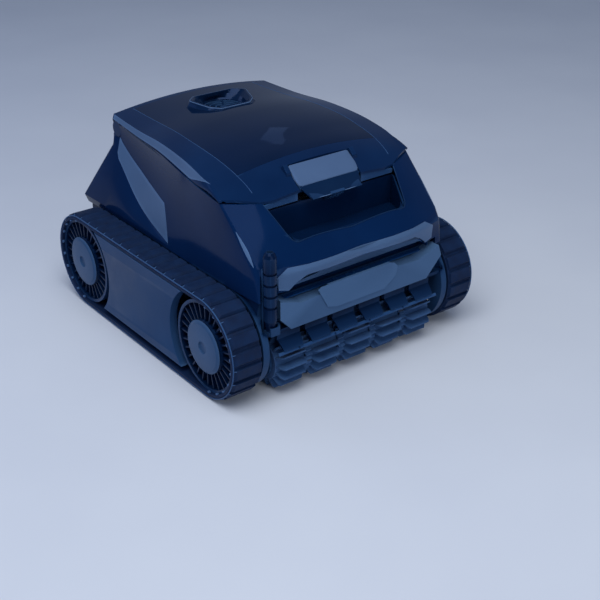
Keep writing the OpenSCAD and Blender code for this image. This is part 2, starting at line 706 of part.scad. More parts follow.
// Dark tray under the latch, cut to the slope of the front
module latch_tray() color("#05070b") {
    floor = nose_crease_z + 4;
    intersection() {
        stack(shell_stack(-0.6));
        difference() {
            translate([0, 0, floor]) linear_extrude(height = edge_z(lid_front_y) - 6 - floor)
                latch_recess_2d(-0.3);
            translate([0, 0, floor + 3]) linear_extrude(height = 100) latch_recess_2d(-3.3);
        }
    }
    // Catch that the latch hooks under, on its base block
    block([-30, lid_front_y + 1, floor + 1], [30, lid_front_y + 6, latch_z - 34]);
    along_x(-16, 16) polygon([for (a = [226, 237]) [latch_y + 44 * cos(a), latch_z + 44 * sin(a)],
        [lid_front_y + 3, latch_z - 38], [lid_front_y + 3, latch_z - 33]]);
}

module grip_tray() color("#05070b") difference() {
    intersection() {
        along_y(nose_y, nose_y + 36) grip_2d(2);
        stack(shell_stack(-shell_wall - 0.3));
    }
    along_y(nose_y - 1, nose_y + 33) grip_2d(-1.5);
    gland_column(0.2);
}

module bumper_2d() {
    half = [[65, deck_z - 6], [tub_half_w - 51, deck_z - 8], [tub_half_w - 13, deck_z + 4],
        [tub_half_w - 7, deck_z - 13], [tub_half_w - 34, lip_top_z + 1]];
    polygon(concat(half, [for (i = [4:-1:0]) [-half[i][0], half[i][1]]]));
}

module front_bumper() color("#5a6f8e") difference() {
    along_y(nose_y - 5, nose_y + 17) bumper_2d();
    // Hollow behind the face, closed by the hatch below
    block([-62, nose_y + 1, lip_top_z], [66, nose_y + 18, lip_top_z + 22]);
    gland_column(0.2);
}

// The hatch stands above the plate with a lip that fingers can hold
module bumper_hatch() color("#48597a") {
    lip_z = deck_z + 4.5;
    along_y(nose_y - 6.5, nose_y - 5) polygon([[-61, lip_top_z + 15], [-45, lip_top_z + 10.5],
        [40, lip_top_z + 10.5], [60, lip_top_z + 25], [63, lip_z - 9], [57, lip_z - 2.5], [47, lip_z],
        [-71, lip_z], [-77, lip_z - 3]]);
    along_y(nose_y - 5, nose_y - 2.5) polygon([[-60, deck_z - 5.5], [52, deck_z - 5.5], [52, lip_z - 1],
        [47, lip_z], [-60, lip_z]]);
}

// ---- Cable gland: where the floating cable enters ----

module cable_relief() color("#1b2533") translate([relief_x, relief_y, 0]) difference() {
    union() {
        rotate_extrude() polygon([[0, relief_bottom_z], [relief_r - 3, relief_bottom_z],
            [relief_r, relief_bottom_z + 16], [relief_r, relief_top_z - 8],
            [relief_r - 2, relief_top_z - 3], [relief_r - 4.4, relief_top_z], [0, relief_top_z]]);
    }
    translate([0, 0, relief_bottom_z - 1]) cylinder(h = relief_top_z - relief_bottom_z + 2, r = cable_r);
    for (i = [0:3]) translate([0, 0, relief_bottom_z + 34 + i * 16]) difference() {
        cylinder(h = 3.5, r = relief_r + 1);
        translate([0, 0, -1]) cylinder(h = 6, r = relief_r - 1.8);
    }
}

// Seat of the gland with the dark column behind it
module cable_socket() color("#3d4a5e") difference() {
    intersection() {
        union() {
            rod_z(relief_x, relief_y, lip_top_z, lip_top_z + 12, channel_r - 0.3);
            intersection() {
                rod_z(relief_x, relief_y, lip_top_z, nose_crease_z, channel_r - 0.3);
                block([relief_x - 20, relief_y + 2, lip_top_z], [relief_x + 20, relief_y + 20, relief_top_z]);
            }
        }
        block([relief_x - 6.4, nose_y - 6, lip_top_z], [relief_x + 20, nose_y + 30, relief_top_z]);
    }
    rod_z(relief_x, relief_y, relief_bottom_z, relief_top_z + 5, relief_r + 0.3);
    rod_z(relief_x, relief_y, lip_top_z - 1, relief_bottom_z + 1, cable_r + 1);
}

// ---- Pump, motors and filter inside ----

module motor_housing() color("#2a3340") difference() {
    block([-housing_half_w, housing_y0, floor_z], [housing_half_w, housing_y1, housing_top_z - 8]);
    block([-housing_half_w + 4, housing_y0 + 4, floor_z + 4], [housing_half_w - 4, housing_y1 - 4,
        housing_top_z]);
}

module motor_seal() color("#0b0c0e") translate([0, 0,
    housing_top_z - 8]) linear_extrude(height = 2) difference() {
    translate([-housing_half_w, housing_y0]) square([2 * housing_half_w, housing_y1 - housing_y0]);
    translate([-housing_half_w + 4, housing_y0 + 4])
        square([2 * housing_half_w - 8, housing_y1 - housing_y0 - 8]);
}

module motor_cover() color("#39424f") difference() {
    union() {
        block([-housing_half_w, housing_y0, housing_top_z - 6], [housing_half_w, housing_y1, housing_top_z]);
        rod_z(0, outlet_y, housing_top_z - 1, housing_top_z + 6, 12);
    }
    rod_z(0, outlet_y, housing_top_z - 8, housing_top_z + 8, motor_shaft_r + running_clear);
}

module pump_motor() color("#9aa0a8") difference() {
    union() {
        rod_z(0, outlet_y, floor_z + 4, housing_top_z - 40, 26);
        rod_z(0, outlet_y, housing_top_z - 41, housing_top_z - 30, 10);
    }
    rod_z(0, outlet_y, housing_top_z - 60, housing_top_z - 20, motor_shaft_r + running_clear);
}

module control_board() color("#1f6b3a")
    block([-housing_half_w + 10, housing_y0 + 4, floor_z + 12],
        [housing_half_w - 10, housing_y0 + 6, housing_top_z - 30]);

module traction_motor(s) color("#9aa0a8") on_side(s) difference() {
    rod_x(tub_half_w - 78, tub_half_w, pinion_y, pinion_z, motor_r);
    rod_x(tub_half_w - 30, tub_half_w + 1, pinion_y, pinion_z, motor_shaft_r + running_clear);
}

module outlet_duct() color("#1a2130") {
    difference() {
        rod_z(0, outlet_y, duct_bottom_z, duct_top_z, duct_r);
        rod_z(0, outlet_y, duct_bottom_z - 1, duct_top_z + 1, throat_r);
    }
    for (a = [45:90:315]) translate([0, outlet_y, 0]) rotate(a)
        block([throat_r + 0.5, -4, housing_top_z], [duct_r - 0.5, 4, duct_bottom_z + 1]);
}

module filter_frame() color("#39424f") {
    w = basket_rib;
    difference() {
        union() {
            for (z = [basket_z0, basket_top_z - w]) difference() {
                block([-basket_half_w, basket_y0, z], [basket_half_w, basket_y1, z + w]);
                block([-basket_half_w + w, basket_y0 + w, z - 1], [basket_half_w - w, basket_y1 - w,
                    z + w + 1]);
            }
            for (x = [-basket_half_w, basket_half_w - w]) for (y = [basket_y0, basket_y1 - w])
                block([x, y, basket_z0], [x + w, y + w, basket_top_z]);
            for (x = [-basket_half_w, basket_half_w - w])
                block([x, inlet_y + 16, basket_z0], [x + w, inlet_y + 16 + w, basket_top_z]);
            for (y = [basket_y0, basket_y1 - w]) for (x = [-40, 40 - w])
                block([x, y, basket_z0], [x + w, y + w, basket_top_z]);
            // Floor of the basket
            block([-basket_half_w + 1, basket_y0 + 1, basket_z0], [basket_half_w - 1, basket_y1 - 1,
                basket_z0 + 2]);
        }
        block([-inlet_w / 2, inlet_y - inlet_l / 2, basket_z0 - 1], [inlet_w / 2,
            inlet_y + inlet_l / 2, basket_z0 + 3]);
        for (s = [-1, 1]) rod_x(s * (basket_half_w - 3) - 4, s * (basket_half_w - 3) + 4, inlet_y + 19,
            basket_top_z - 6, 2 + running_clear);
    }
    // Lugs that carry the flap over the inlet
    for (s = [-1, 1]) difference() {
        block([s * (inlet_w / 2 + 4) - 3, inlet_y + inlet_l / 2 + 1, basket_z0 + 1],
            [s * (inlet_w / 2 + 4) + 3, inlet_y + inlet_l / 2 + 9, basket_z0 + 9]);
        rod_x(s * (inlet_w / 2 + 4) - 4, s * (inlet_w / 2 + 4) + 4, inlet_y + inlet_l / 2 + 5,
            basket_z0 + 5, 1.5 + running_clear);
    }
}

module filter_mesh() color("#c7cbd2") {
    w = basket_rib;
    x_mid = basket_half_w - w / 2;
    for (s = [-1, 1]) for (y = [[basket_y0 + w, inlet_y + 16], [inlet_y + 16 + w, basket_y1 - w]])
        block([s * x_mid - 0.5, y[0], basket_z0 + w], [s * x_mid + 0.5, y[1], basket_top_z - w]);
    for (y = [basket_y0 + w / 2, basket_y1 - w / 2])
        for (x = [[-basket_half_w + w, -40], [-40 + w, 40 - w], [40, basket_half_w - w]])
            block([x[0], y - 0.5, basket_z0 + w], [x[1], y + 0.5, basket_top_z - w]);
}

module inlet_throat() color("#39424f") difference() {
    block([-inlet_w / 2 - 3, inlet_y - inlet_l / 2 - 3, floor_z], [inlet_w / 2 + 3,
        inlet_y + inlet_l / 2 + 3, basket_z0]);
    block([-inlet_w / 2, inlet_y - inlet_l / 2, floor_z - 1], [inlet_w / 2, inlet_y + inlet_l / 2,
        basket_z0 + 1]);
}

module inlet_flap() color("#0f1216") {
    y = inlet_y + inlet_l / 2 + 5;
    z = basket_z0 + 5;
    rod_x(-inlet_w / 2 - 7, inlet_w / 2 + 7, y, z, 1.5);
    rod_x(-inlet_w / 2 + 2, inlet_w / 2 - 2, y, z, 2.6);
    block([-inlet_w / 2 + 2, inlet_y - inlet_l / 2 - 3, z - 2.4], [inlet_w / 2 - 2, y, z - 0.4]);
}

module filter_handle() color("#8fa0b8") {
    x = basket_half_w - basket_rib - 0.6;
    y = inlet_y + 19;
    z = basket_top_z - 6;
    for (s = [-1, 1]) {
        rod_x(s * (x + 2.3) - 3.3, s * (x + 2.3) + 3.3, y, z, 2);
        block([s * (x - 2) - 2, y - 4, z - 4], [s * (x - 2) + 2, y + 36, z + 4]);
    }
    block([-x, y + 30, z - 4], [x, y + 36, z + 4]);
}

module impeller() color("#3b4658") {
    difference() {
        rod_z(0, outlet_y, duct_bottom_z + 22, duct_bottom_z + 42, 10);
        rod_z(0, outlet_y, duct_bottom_z + 21, duct_bottom_z + 43, motor_shaft_r);
    }
    for (a = [0:120:240]) intersection() {
        translate([0, outlet_y, duct_bottom_z + 32]) rotate([0, 0, a]) rotate([38, 0, 0])
            translate([9, -14, -1.25]) cube([throat_r, 28, 2.5]);
        difference() {
            rod_z(0, outlet_y, duct_bottom_z + 23, duct_bottom_z + 41, impeller_r);
            rod_z(0, outlet_y, duct_bottom_z + 22, duct_bottom_z + 42, 9.5);
        }
    }
}

module impeller_shaft() color("#c3c8d0") rod_z(0, outlet_y, housing_top_z - 56, duct_bottom_z + 44,
    motor_shaft_r);

// ---- Lid ----

lid_rows = [lid_rear_y, 135, 94, 50, 12, -30, corner_front_y + 67, corner_front_y + 36, corner_front_y + 15,
    corner_front_y - 3, lid_front_y - 2];
lid_cols = [-1, -0.86, -0.6, -0.3, 0, 0.3, 0.6, 0.86, 1];
// Points of the lid at a depth below its top face, with the bevelled edges turned down
function lid_row(y, depth) = let(s = 1 - depth / front_half_w) concat(
    [[-(half_w(y) + bevel_w) * s, y, edge_z(y) - bevel_h]],
    [for (u = lid_cols) [u * half_w(y) * s, y, lid_z(u * half_w(y), y) - depth]],
    [[(half_w(y) + bevel_w) * s, y, edge_z(y) - bevel_h]]);
module lid_sheet(from, to) {
    sheet([for (y = lid_rows) lid_row(y, from)], [for (y = lid_rows) lid_row(y, to)]);
}

// Prism through the whole lid over an outline seen from above
module through_lid() {
    translate([0, 0, deck_z]) linear_extrude(height = bezel_top_z) children();
}

module lid_plan(inset) {
    polygon([[-rear_half_w - 10 + inset, lid_rear_y - inset], [rear_half_w + 10 - inset, lid_rear_y - inset],
        [front_half_w + 6 - inset, corner_front_y + 20], [front_half_w + 6 - inset,
            corner_front_y + inset / 2],
        [window_half_w, lid_front_y + 2 + inset], [window_half_w - 20, lid_front_y + inset],
        [-window_half_w + 20, lid_front_y + inset], [-window_half_w, lid_front_y + 2 + inset],
        [-front_half_w - 6 + inset, corner_front_y + inset / 2], [-front_half_w - 6 + inset,
            corner_front_y + 20]]);
}

module window_plan() {
    polygon([[-window_half_w, lid_rear_y - 9], [window_half_w, lid_rear_y - 9],
        [window_half_w, corner_front_y + 21], [-window_half_w, corner_front_y + 21]]);
}

module bezel_plan(g) {
    w = bezel_w / 2 + g;
    polygon([[-w + 16, outlet_y + 32 + g], [w - 16, outlet_y + 32 + g], [w, outlet_y + 16],
        [w - 13, outlet_y - 22], [w - 28, outlet_y - 36 - g], [-w + 28, outlet_y - 36 - g],
        [-w + 13, outlet_y - 22], [-w, outlet_y + 16]]);
}

module lid_frame() color("#0d1422") {
    difference() {
        union() {
            intersection() {
                lid_sheet(0, lid_t);
                through_lid() lid_plan(0);
            }
            // Rear skirt over the hinges
            intersection() {
                sheet([for (y = lid_rows) lid_row(y, lid_t / 2)],
                    [for (y = lid_rows) [for (p = lid_row(y, lid_t / 2)) [p[0], y, skirt_z]]]);
                block([-rear_half_w + 3, lid_rear_y - 3.5, skirt_z], [rear_half_w - 3, lid_rear_y,
                    bezel_top_z]);
            }
            // Ears for the latch pin
            for (s = [-1, 1]) on_side(s) intersection() {
                block([latch_w / 2 + 1.5, latch_y - 6, latch_z - 6], [latch_w / 2 + 9, latch_y + 8,
                    bezel_top_z]);
                sheet([for (y = lid_rows) lid_row(y, lid_t / 2)],
                    [for (y = lid_rows) [for (p = lid_row(y, lid_t / 2)) [p[0], y, latch_z - 20]]]);
            }
            // Knuckles on the hinge pins
            for (s = [-1, 1]) on_side(s) {
                rod_x(knuckle_x, knuckle_x + knuckle_w, hinge_y, hinge_z, hinge_pin_r + 3);
                block([knuckle_x, hinge_y - 3, hinge_z],
                    [knuckle_x + knuckle_w, hinge_y + 3, lid_z(knuckle_x + knuckle_w, hinge_y) - lid_t / 2]);
            }
        }
        through_lid() window_plan();
        block([-latch_w / 2 - 1, lid_front_y - 5, nose_crease_z], [latch_w / 2 + 1, latch_y + 9,
            bezel_top_z]);
        rod_x(-latch_w / 2 - 8, latch_w / 2 + 8, latch_y, latch_z, latch_pin_r);
        for (s = [-1, 1]) on_side(s) rod_x(knuckle_x - 1, knuckle_x + knuckle_w + 1, hinge_y, hinge_z,
            hinge_pin_r);
        // Notches that let the skirt swing past the hinge brackets
        for (s = [-1, 1], x = bracket_xs) on_side(s)
            block([x - 1, lid_rear_y - 4.5, skirt_z - 1], [x + bracket_w + 1, lid_rear_y + 1, hinge_z + 8]);
    }
}

module lid_window() color("#1c2a40", 0.6) difference() {
    intersection() {
        lid_sheet(0, lid_t - 0.6);
        through_lid() window_plan();
    }
    through_lid() bezel_plan(0);
}

module lid_seal() color("#08090b") intersection() {
    lid_sheet(lid_t, lid_t + 3);
    through_lid() difference() {
        polygon([[-window_half_w - 12, hinge_y - 10], [window_half_w + 12, hinge_y - 10],
            [window_half_w + 12, corner_front_y + 12], [-window_half_w - 12, corner_front_y + 12]]);
        polygon([[-window_half_w - 8, hinge_y - 14], [window_half_w + 8, hinge_y - 14],
            [window_half_w + 8, corner_front_y + 16], [-window_half_w - 8, corner_front_y + 16]]);
    }
}

module outlet_bezel() color("#3c4c66") difference() {
    translate([0, 0, duct_top_z + 2]) linear_extrude(height = bezel_top_z - duct_top_z - 2) bezel_plan(0);
    translate([0, outlet_y, 0]) rotate_extrude(convexity = 4) polygon([[0, duct_top_z], [throat_r,
        duct_top_z],
        [throat_r, duct_top_z + 9], [throat_r + 5, bezel_top_z + 1], [0, bezel_top_z + 1]]);
}

module outlet_grille() color("#222c3d") translate([0, outlet_y, duct_top_z + 4]) {
    for (r = [throat_r, throat_r * 0.7, throat_r * 0.4]) difference() {
        cylinder(h = 4, r = r);
        translate([0, 0, -1]) cylinder(h = 6, r = r - 2);
    }
    for (a = [0:60:300]) rotate(a) block([3, -1.1, 0.5], [throat_r - 1, 1.1, 3.5]);
    cylinder(h = 4, r = 5);
}

// Hinge pins of the lid, and the pin that the latch turns on
module lid_pins() color("#c3c8d0") {
    for (s = [-1, 1]) on_side(s) rod_x(hinge_x, knuckle_x + 2 * knuckle_w, hinge_y, hinge_z, hinge_pin_r);
    rod_x(-latch_w / 2 - 8, latch_w / 2 + 8, latch_y, latch_z, latch_pin_r);
}

module hinge_brackets() color("#1a2130") for (s = [-1, 1])
    for (x = bracket_xs) difference() {
        union() {
            on_side(s) rod_x(x, x + bracket_w, hinge_y, hinge_z, hinge_pin_r + 3);
            on_side(s) block([x, hinge_y - 6, rim_rear_z - 40], [x + bracket_w, hinge_y + 5, hinge_z]);
            intersection() {
                on_side(s) block([x, hinge_y - 6, rim_rear_z - 40], [x + bracket_w, tail_y, rim_rear_z - 12]);
                stack(shell_stack(-shell_wall));
            }
        }
        on_side(s) rod_x(x - 1, x + bracket_w + 1, hinge_y, hinge_z, hinge_pin_r + running_clear);
    }

// ---- Latch ----

// Side view of the lever: a bent plate around its pin, with a hook that passes under the catch
function latch_polar(r, a) = [latch_y + r * cos(a), latch_z + r * sin(a)];
module latch_lever() color("#2b3648") difference() {
    union() {
        along_x(-latch_w / 2 + 0.5, latch_w / 2 - 0.5) polygon([[latch_y + 4.5, latch_z + 5],
            [lid_front_y - 1, latch_z - 17], [lid_front_y + 1.5, latch_z - 22],
            [latch_y - 4, latch_z - 4.5], [latch_y + 4, latch_z - 2]]);
        along_x(-latch_w / 2 + 9, latch_w / 2 - 9) polygon([[lid_front_y - 1, latch_z - 17],
            latch_polar(49, 215), latch_polar(45.5, 217), [lid_front_y + 1.5, latch_z - 22]]);
        along_x(-12, 12) polygon(concat([for (a = [214:4:238]) latch_polar(49, a)],
            [for (a = [238:-4:214]) latch_polar(45, a)]));
    }
    rod_x(-latch_w, latch_w, latch_y, latch_z, latch_pin_r + running_clear);
}

module latch_pad() color("#a9b8d0") difference() {
    along_x(-latch_w / 2 + 0.5, latch_w / 2 - 0.5) polygon([[latch_y + 4.5, latch_z + 5],
        [latch_y + 3.5, latch_z + 8.6], [lid_front_y - 2.4, latch_z - 13.6], [lid_front_y - 1,
            latch_z - 17]]);
    rod_x(-latch_w, latch_w, latch_y, latch_z, latch_pin_r + running_clear);
}

chassis();
shell_front();
shell_half(-1);  // shell_left
shell_half(1);  // shell_right
side_frame(-1);  // side_frame_left
side_frame(1);  // side_frame_right
front_bumper();
bumper_hatch();
grip_tray();
latch_tray();
track(-1);  // track_left
track(1);  // track_right
track_guard(-1);  // track_guard_left
track_guard(1);  // track_guard_right
wheel_axles();
frame_screws();
brush_bearings();
motor_housing();
motor_cover();
motor_seal();
pump_motor();
control_board();
traction_motor(-1);  // traction_motor_left
traction_motor(1);  // traction_motor_right
outlet_duct();
filter_frame();
filter_mesh();
inlet_throat();
cable_socket();
cable_relief();
hinge_brackets();
wheel(-1, -axle_y);  // wheel_front_left
hub_cap(-1, -axle_y);  // hub_cap_front_left
wheel_bush(-1, -axle_y);  // wheel_bush_front_left
wheel(-1, axle_y);  // wheel_rear_left
hub_cap(-1, axle_y);  // hub_cap_rear_left
wheel_bush(-1, axle_y);  // wheel_bush_rear_left
wheel(1, -axle_y);  // wheel_front_right
hub_cap(1, -axle_y);  // hub_cap_front_right
wheel_bush(1, -axle_y);  // wheel_bush_front_right
wheel(1, axle_y);  // wheel_rear_right
hub_cap(1, axle_y);  // hub_cap_rear_right
wheel_bush(1, axle_y);  // wheel_bush_rear_right
drive_pinion(-1);  // drive_pinion_left
drive_pinion(1);  // drive_pinion_right
brush_core();
brush_sleeves();
brush_gear();
impeller();
impeller_shaft();
lid_frame();
lid_window();
lid_seal();
outlet_bezel();
outlet_grille();
lid_pins();
latch_lever();
latch_pad();
inlet_flap();
filter_handle();
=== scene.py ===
"""Looks of the robotic pool cleaner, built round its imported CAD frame.

The frame's axes are X to the right, Y to the rear and Z up. Shapes are drawn in millimetres, and
Mould.make turns them into the frame's metres. Light, floor and camera are set in metres.
"""

import logging
import math
from dataclasses import dataclass, field
from enum import Enum
from functools import cache
from typing import Callable, Sequence

import bmesh
import bpy
import numpy as np
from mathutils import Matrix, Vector
from mathutils.bvhtree import BVHTree
from mathutils.kdtree import KDTree


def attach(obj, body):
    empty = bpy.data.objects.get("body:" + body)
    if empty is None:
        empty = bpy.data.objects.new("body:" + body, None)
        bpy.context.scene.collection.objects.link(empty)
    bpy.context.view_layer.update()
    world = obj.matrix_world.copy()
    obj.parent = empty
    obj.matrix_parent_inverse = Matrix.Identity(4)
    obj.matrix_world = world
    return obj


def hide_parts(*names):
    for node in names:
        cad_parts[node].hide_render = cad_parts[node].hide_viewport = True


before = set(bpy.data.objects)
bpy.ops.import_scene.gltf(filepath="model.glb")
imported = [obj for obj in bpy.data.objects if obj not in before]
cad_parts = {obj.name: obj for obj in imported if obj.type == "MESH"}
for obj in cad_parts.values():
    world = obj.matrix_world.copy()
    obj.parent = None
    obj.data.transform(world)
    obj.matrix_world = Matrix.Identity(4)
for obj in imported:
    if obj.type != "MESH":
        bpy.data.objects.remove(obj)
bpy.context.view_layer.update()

LOG = logging.getLogger("pool_cleaner")
MM = 0.001
WELD = 1e-6  # corners nearer than this, in metres, become one
SIDES = (("left", -1), ("right", 1))
AXLE = (165.0, 75.0)  # Y and Z of the rear axles; the front ones are as far in front of the middle
HINGE = (162.0, 272.0)  # Y and Z of the lid's hinge
BRUSH_AXIS = (-196.02, 45.04)  # Y and Z
THROAT = (0.0, 86.0)  # X and Y of the outlet's middle

Flat = tuple[float, float]
Point = tuple[float, float, float]
Line = Sequence[Sequence[float]] | np.ndarray
Net = Sequence[Line] | np.ndarray
Height = Callable[[float, float], float]
Placing = Callable[[float, float, float], Point]
Value = float | tuple[float, ...] | bpy.types.NodeSocket


# ---------------------------------------------------------------- finishes


class Slot(Enum):
    """Material slots of the record that the pieces take their finish from."""

    SHELL = "shell"
    LID = "lid_gloss"
    WINDOW = "window"
    TRAY = "tray_black"
    CHASSIS = "chassis"
    SIDE_PLATE = "side_plate"
    BUMPER = "bumper"
    HATCH = "hatch"
    GUARD = "guard"
    TRACK = "track_rubber"
    WHEEL = "wheel"
    HUB_CAP = "hub_cap"
    BUSH = "bush"
    STEEL = "steel"
    MOTOR = "motor"
    HOUSING = "housing"
    SEAL = "seal"
    BOARD = "board"
    MESH = "mesh"
    BRUSH = "brush_rubber"
    CORE = "brush_core"
    GLAND = "gland"
    BEZEL = "bezel"
    LATCH_CAP = "latch_cap"
    LATCH = "latch_body"


def linear(colour: str) -> tuple[float, float, float, float]:
    """Turns a display colour into the scene's linear one.

    Args:
        colour: Six hexadecimal digits, such as "1a2438".

    Returns:
        Red, green, blue and alpha, each from 0 to 1.
    """
    parts = [int(colour[i : i + 2], 16) / 255 for i in (0, 2, 4)]
    red, green, blue = [p / 12.92 if p <= 0.04045 else ((p + 0.055) / 1.055) ** 2.4 for p in parts]
    return (red, green, blue, 1.0)


BLUE_SHEEN = linear("4f86d8")


class Graph:
    """A node tree with short ways to add and link nodes."""

    def __init__(self, owner: bpy.types.Material | bpy.types.World) -> None:
        """Starts an empty tree.

        Args:
            owner: The new material or world.
        """
        self.owner = owner
        owner.use_nodes = True
        self.tree = owner.node_tree
        self.tree.nodes.clear()

    def add(self, kind: str, settings: dict[str, str] | None = None, **inputs: Value) -> bpy.types.Node:
        """Adds one node.

        Args:
            kind: Type of the node, without its first word.
            settings: Properties of the node, such as its operation.
            **inputs: Values or sockets for its inputs by name, with _ for each space.

        Returns:
            The new node.
        """
        node = self.tree.nodes.new(f"ShaderNode{kind}")
        for key, choice in (settings or {}).items():
            setattr(node, key, choice)
        for key, value in inputs.items():
            socket = node.inputs[key.replace("_", " ")]
            if isinstance(value, bpy.types.NodeSocket):
                self.tree.links.new(value, socket)
            else:
                socket.default_value = value
        return node

    def place(self) -> bpy.types.NodeSocket:
        """Gives the object's own coordinates."""
        return self.add("TexCoord").outputs["Object"]

    def noise(
        self, scale: float, detail: float = 4.0, stretch: Point = (1.0, 1.0, 1.0)
    ) -> bpy.types.NodeSocket:
        """Adds a noise pattern.

        Args:
            scale: Cells per metre.
            detail: Octaves of the noise.
            stretch: How much finer the pattern is along X, Y and Z.

        Returns:
            The pattern.
        """
        mapped = self.add("Mapping", Scale=stretch, Vector=self.place()).outputs["Vector"]
        return self.add("TexNoise", Scale=scale, Detail=detail, Vector=mapped).outputs["Fac"]

    def ramp(self, value: bpy.types.NodeSocket, *stops: tuple[float, str]) -> bpy.types.NodeSocket:
        """Turns a value into a colour.

        Args:
            value: The value to colour.
            *stops: Places from 0 to 1 with their display colours.

        Returns:
            The colour.
        """
        node = self.add("ValToRGB", Fac=value)
        bar = node.color_ramp.elements
        while len(bar) < len(stops):
            bar.new(0.5)
        for element, (at, colour) in zip(bar, stops):
            element.position = at
            element.color = linear(colour)
        return node.outputs["Color"]

    def span(
        self, value: bpy.types.NodeSocket, low: float, high: float, start: float = 0.3, end: float = 0.7
    ) -> bpy.types.NodeSocket:
        """Spreads a part of a value's range over a new range.

        Args:
            value: The value to spread.
            low: Result at the start of the part.
            high: Result at its end.
            start: Value where the part starts.
            end: Value where it ends.

        Returns:
            The new value.
        """
        node = self.add("MapRange", Value=value, From_Min=start, From_Max=end, To_Min=low, To_Max=high)
        return node.outputs["Result"]

    def bump(self, height: bpy.types.NodeSocket, depth: float, strength: float = 1.0) -> bpy.types.NodeSocket:
        """Turns a height pattern into relief.

        Args:
            height: The pattern.
            depth: Height of the relief in metres.
            strength: Share of the relief that shows.

        Returns:
            The normal.
        """
        return self.add("Bump", Distance=depth, Strength=strength, Height=height).outputs["Normal"]

    def surface(self, **inputs: Value) -> bpy.types.Material:
        """Adds the surface shader and the output.

        Args:
            **inputs: Values or sockets for the shader's inputs.

        Returns:
            The finished material.
        """
        shader = self.add("BsdfPrincipled", **inputs)
        self.add("OutputMaterial", Surface=shader.outputs["BSDF"])
        return self.owner


@dataclass(frozen=True)
class Finish:
    """What every finish has.

    Attributes:
        name: Name of the finish.
        dark: Display colour of its darker places.
        light: Display colour of its lighter places.
    """

    name: str
    dark: str
    light: str

    def graph(self) -> Graph:
        """Starts the node tree of the finish."""
        return Graph(bpy.data.materials.new(self.name))

    def material(self) -> bpy.types.Material:
        """Builds the finish as a node material."""
        raise NotImplementedError


@dataclass(frozen=True)
class Moulded(Finish):
    """Injection-moulded plastic, from high gloss to satin.

    Attributes:
        worn: Display colour of rubbed edges.
        rough: Lowest and highest roughness.
        coat: Weight of the clear gloss layer.
        grain: Height of the fine texture in metres.
        grain_scale: Cells of the fine texture per metre.
        specular: Specular level.
    """

    worn: str
    rough: Flat = (0.3, 0.4)
    coat: float = 0.0
    grain: float = 0.00003
    grain_scale: float = 2500.0
    specular: float = 0.2

    def material(self) -> bpy.types.Material:
        """Builds clouds of colour, paler rubbed edges and a fine grain.

        Returns:
            The material.
        """
        g = self.graph()
        edges = g.add("NewGeometry").outputs["Pointiness"]
        base = g.add(
            "Mix",
            {"data_type": "RGBA"},
            Factor=g.span(edges, 0.0, 0.55, 0.53, 0.62),
            A=g.ramp(g.noise(9.0, 3.0), (0.35, self.dark), (0.65, self.light)),
            B=linear(self.worn),
        )
        return g.surface(
            Base_Color=base.outputs["Result"],
            Roughness=g.span(g.noise(35.0, 5.0), *self.rough),
            Normal=g.bump(g.noise(self.grain_scale, 2.0), self.grain),
            Specular_IOR_Level=self.specular,
            Specular_Tint=BLUE_SHEEN,
            Coat_Weight=self.coat,
            Coat_Roughness=0.05,
        )


@dataclass(frozen=True)
class Rubber(Finish):
    """Matt rubber with a fine dusty skin.

    Attributes:
        rough: Lowest and highest roughness.
        pores: Depth of the pores in metres.
        sheen: Weight of the soft sheen.
    """

    rough: Flat = (0.55, 0.75)
    pores: float = 0.0001
    sheen: float = 0.02

    def material(self) -> bpy.types.Material:
        """Builds the dusty bloom and the pores.

        Returns:
            The material.
        """
        g = self.graph()
        return g.surface(
            Base_Color=g.ramp(g.noise(60.0, 6.0), (0.35, self.dark), (0.7, self.light)),
            Roughness=g.span(g.noise(120.0), *self.rough),
            Normal=g.bump(g.noise(1400.0), self.pores),
            Specular_IOR_Level=0.15,
            Sheen_Weight=self.sheen,
            Sheen_Roughness=0.5,
        )


@dataclass(frozen=True)
class Smoked(Finish):
    """Smoked clear plastic of the lid's window.

    Attributes:
        clear: Share of the light that goes through.
    """

    clear: float

    def material(self) -> bpy.types.Material:
        """Builds the tint and the slight waves of the pane.

        Returns:
            The material.
        """
        g = self.graph()
        return g.surface(
            Base_Color=g.ramp(g.noise(6.0, 2.0), (0.35, self.dark), (0.65, self.light)),
            Roughness=g.span(g.noise(25.0), 0.03, 0.07),
            Normal=g.bump(g.noise(9.0, 1.0), 0.0002, 0.06),
            Transmission_Weight=self.clear,
            IOR=1.49,
            Specular_IOR_Level=0.2,
            Specular_Tint=BLUE_SHEEN,
            Coat_Weight=0.04,
            Coat_Roughness=0.02,
        )


@dataclass(frozen=True)
class Metal(Finish):
    """Machined or drawn metal with fine tool lines.

    Attributes:
        lines: How much finer the lines are along X, Y and Z.
    """

    lines: Point = (12.0, 1.0, 1.0)

    def material(self) -> bpy.types.Material:
        """Builds the tool lines in colour, roughness and relief.

        Returns:
            The material.
        """
        g = self.graph()
        streaks = g.noise(220.0, 5.0, self.lines)
        return g.surface(
            Base_Color=g.ramp(streaks, (0.3, self.dark), (0.7, self.light)),
            Roughness=g.span(streaks, 0.22, 0.38),
            Normal=g.bump(streaks, 0.00002),
            Metallic=1.0,
        )


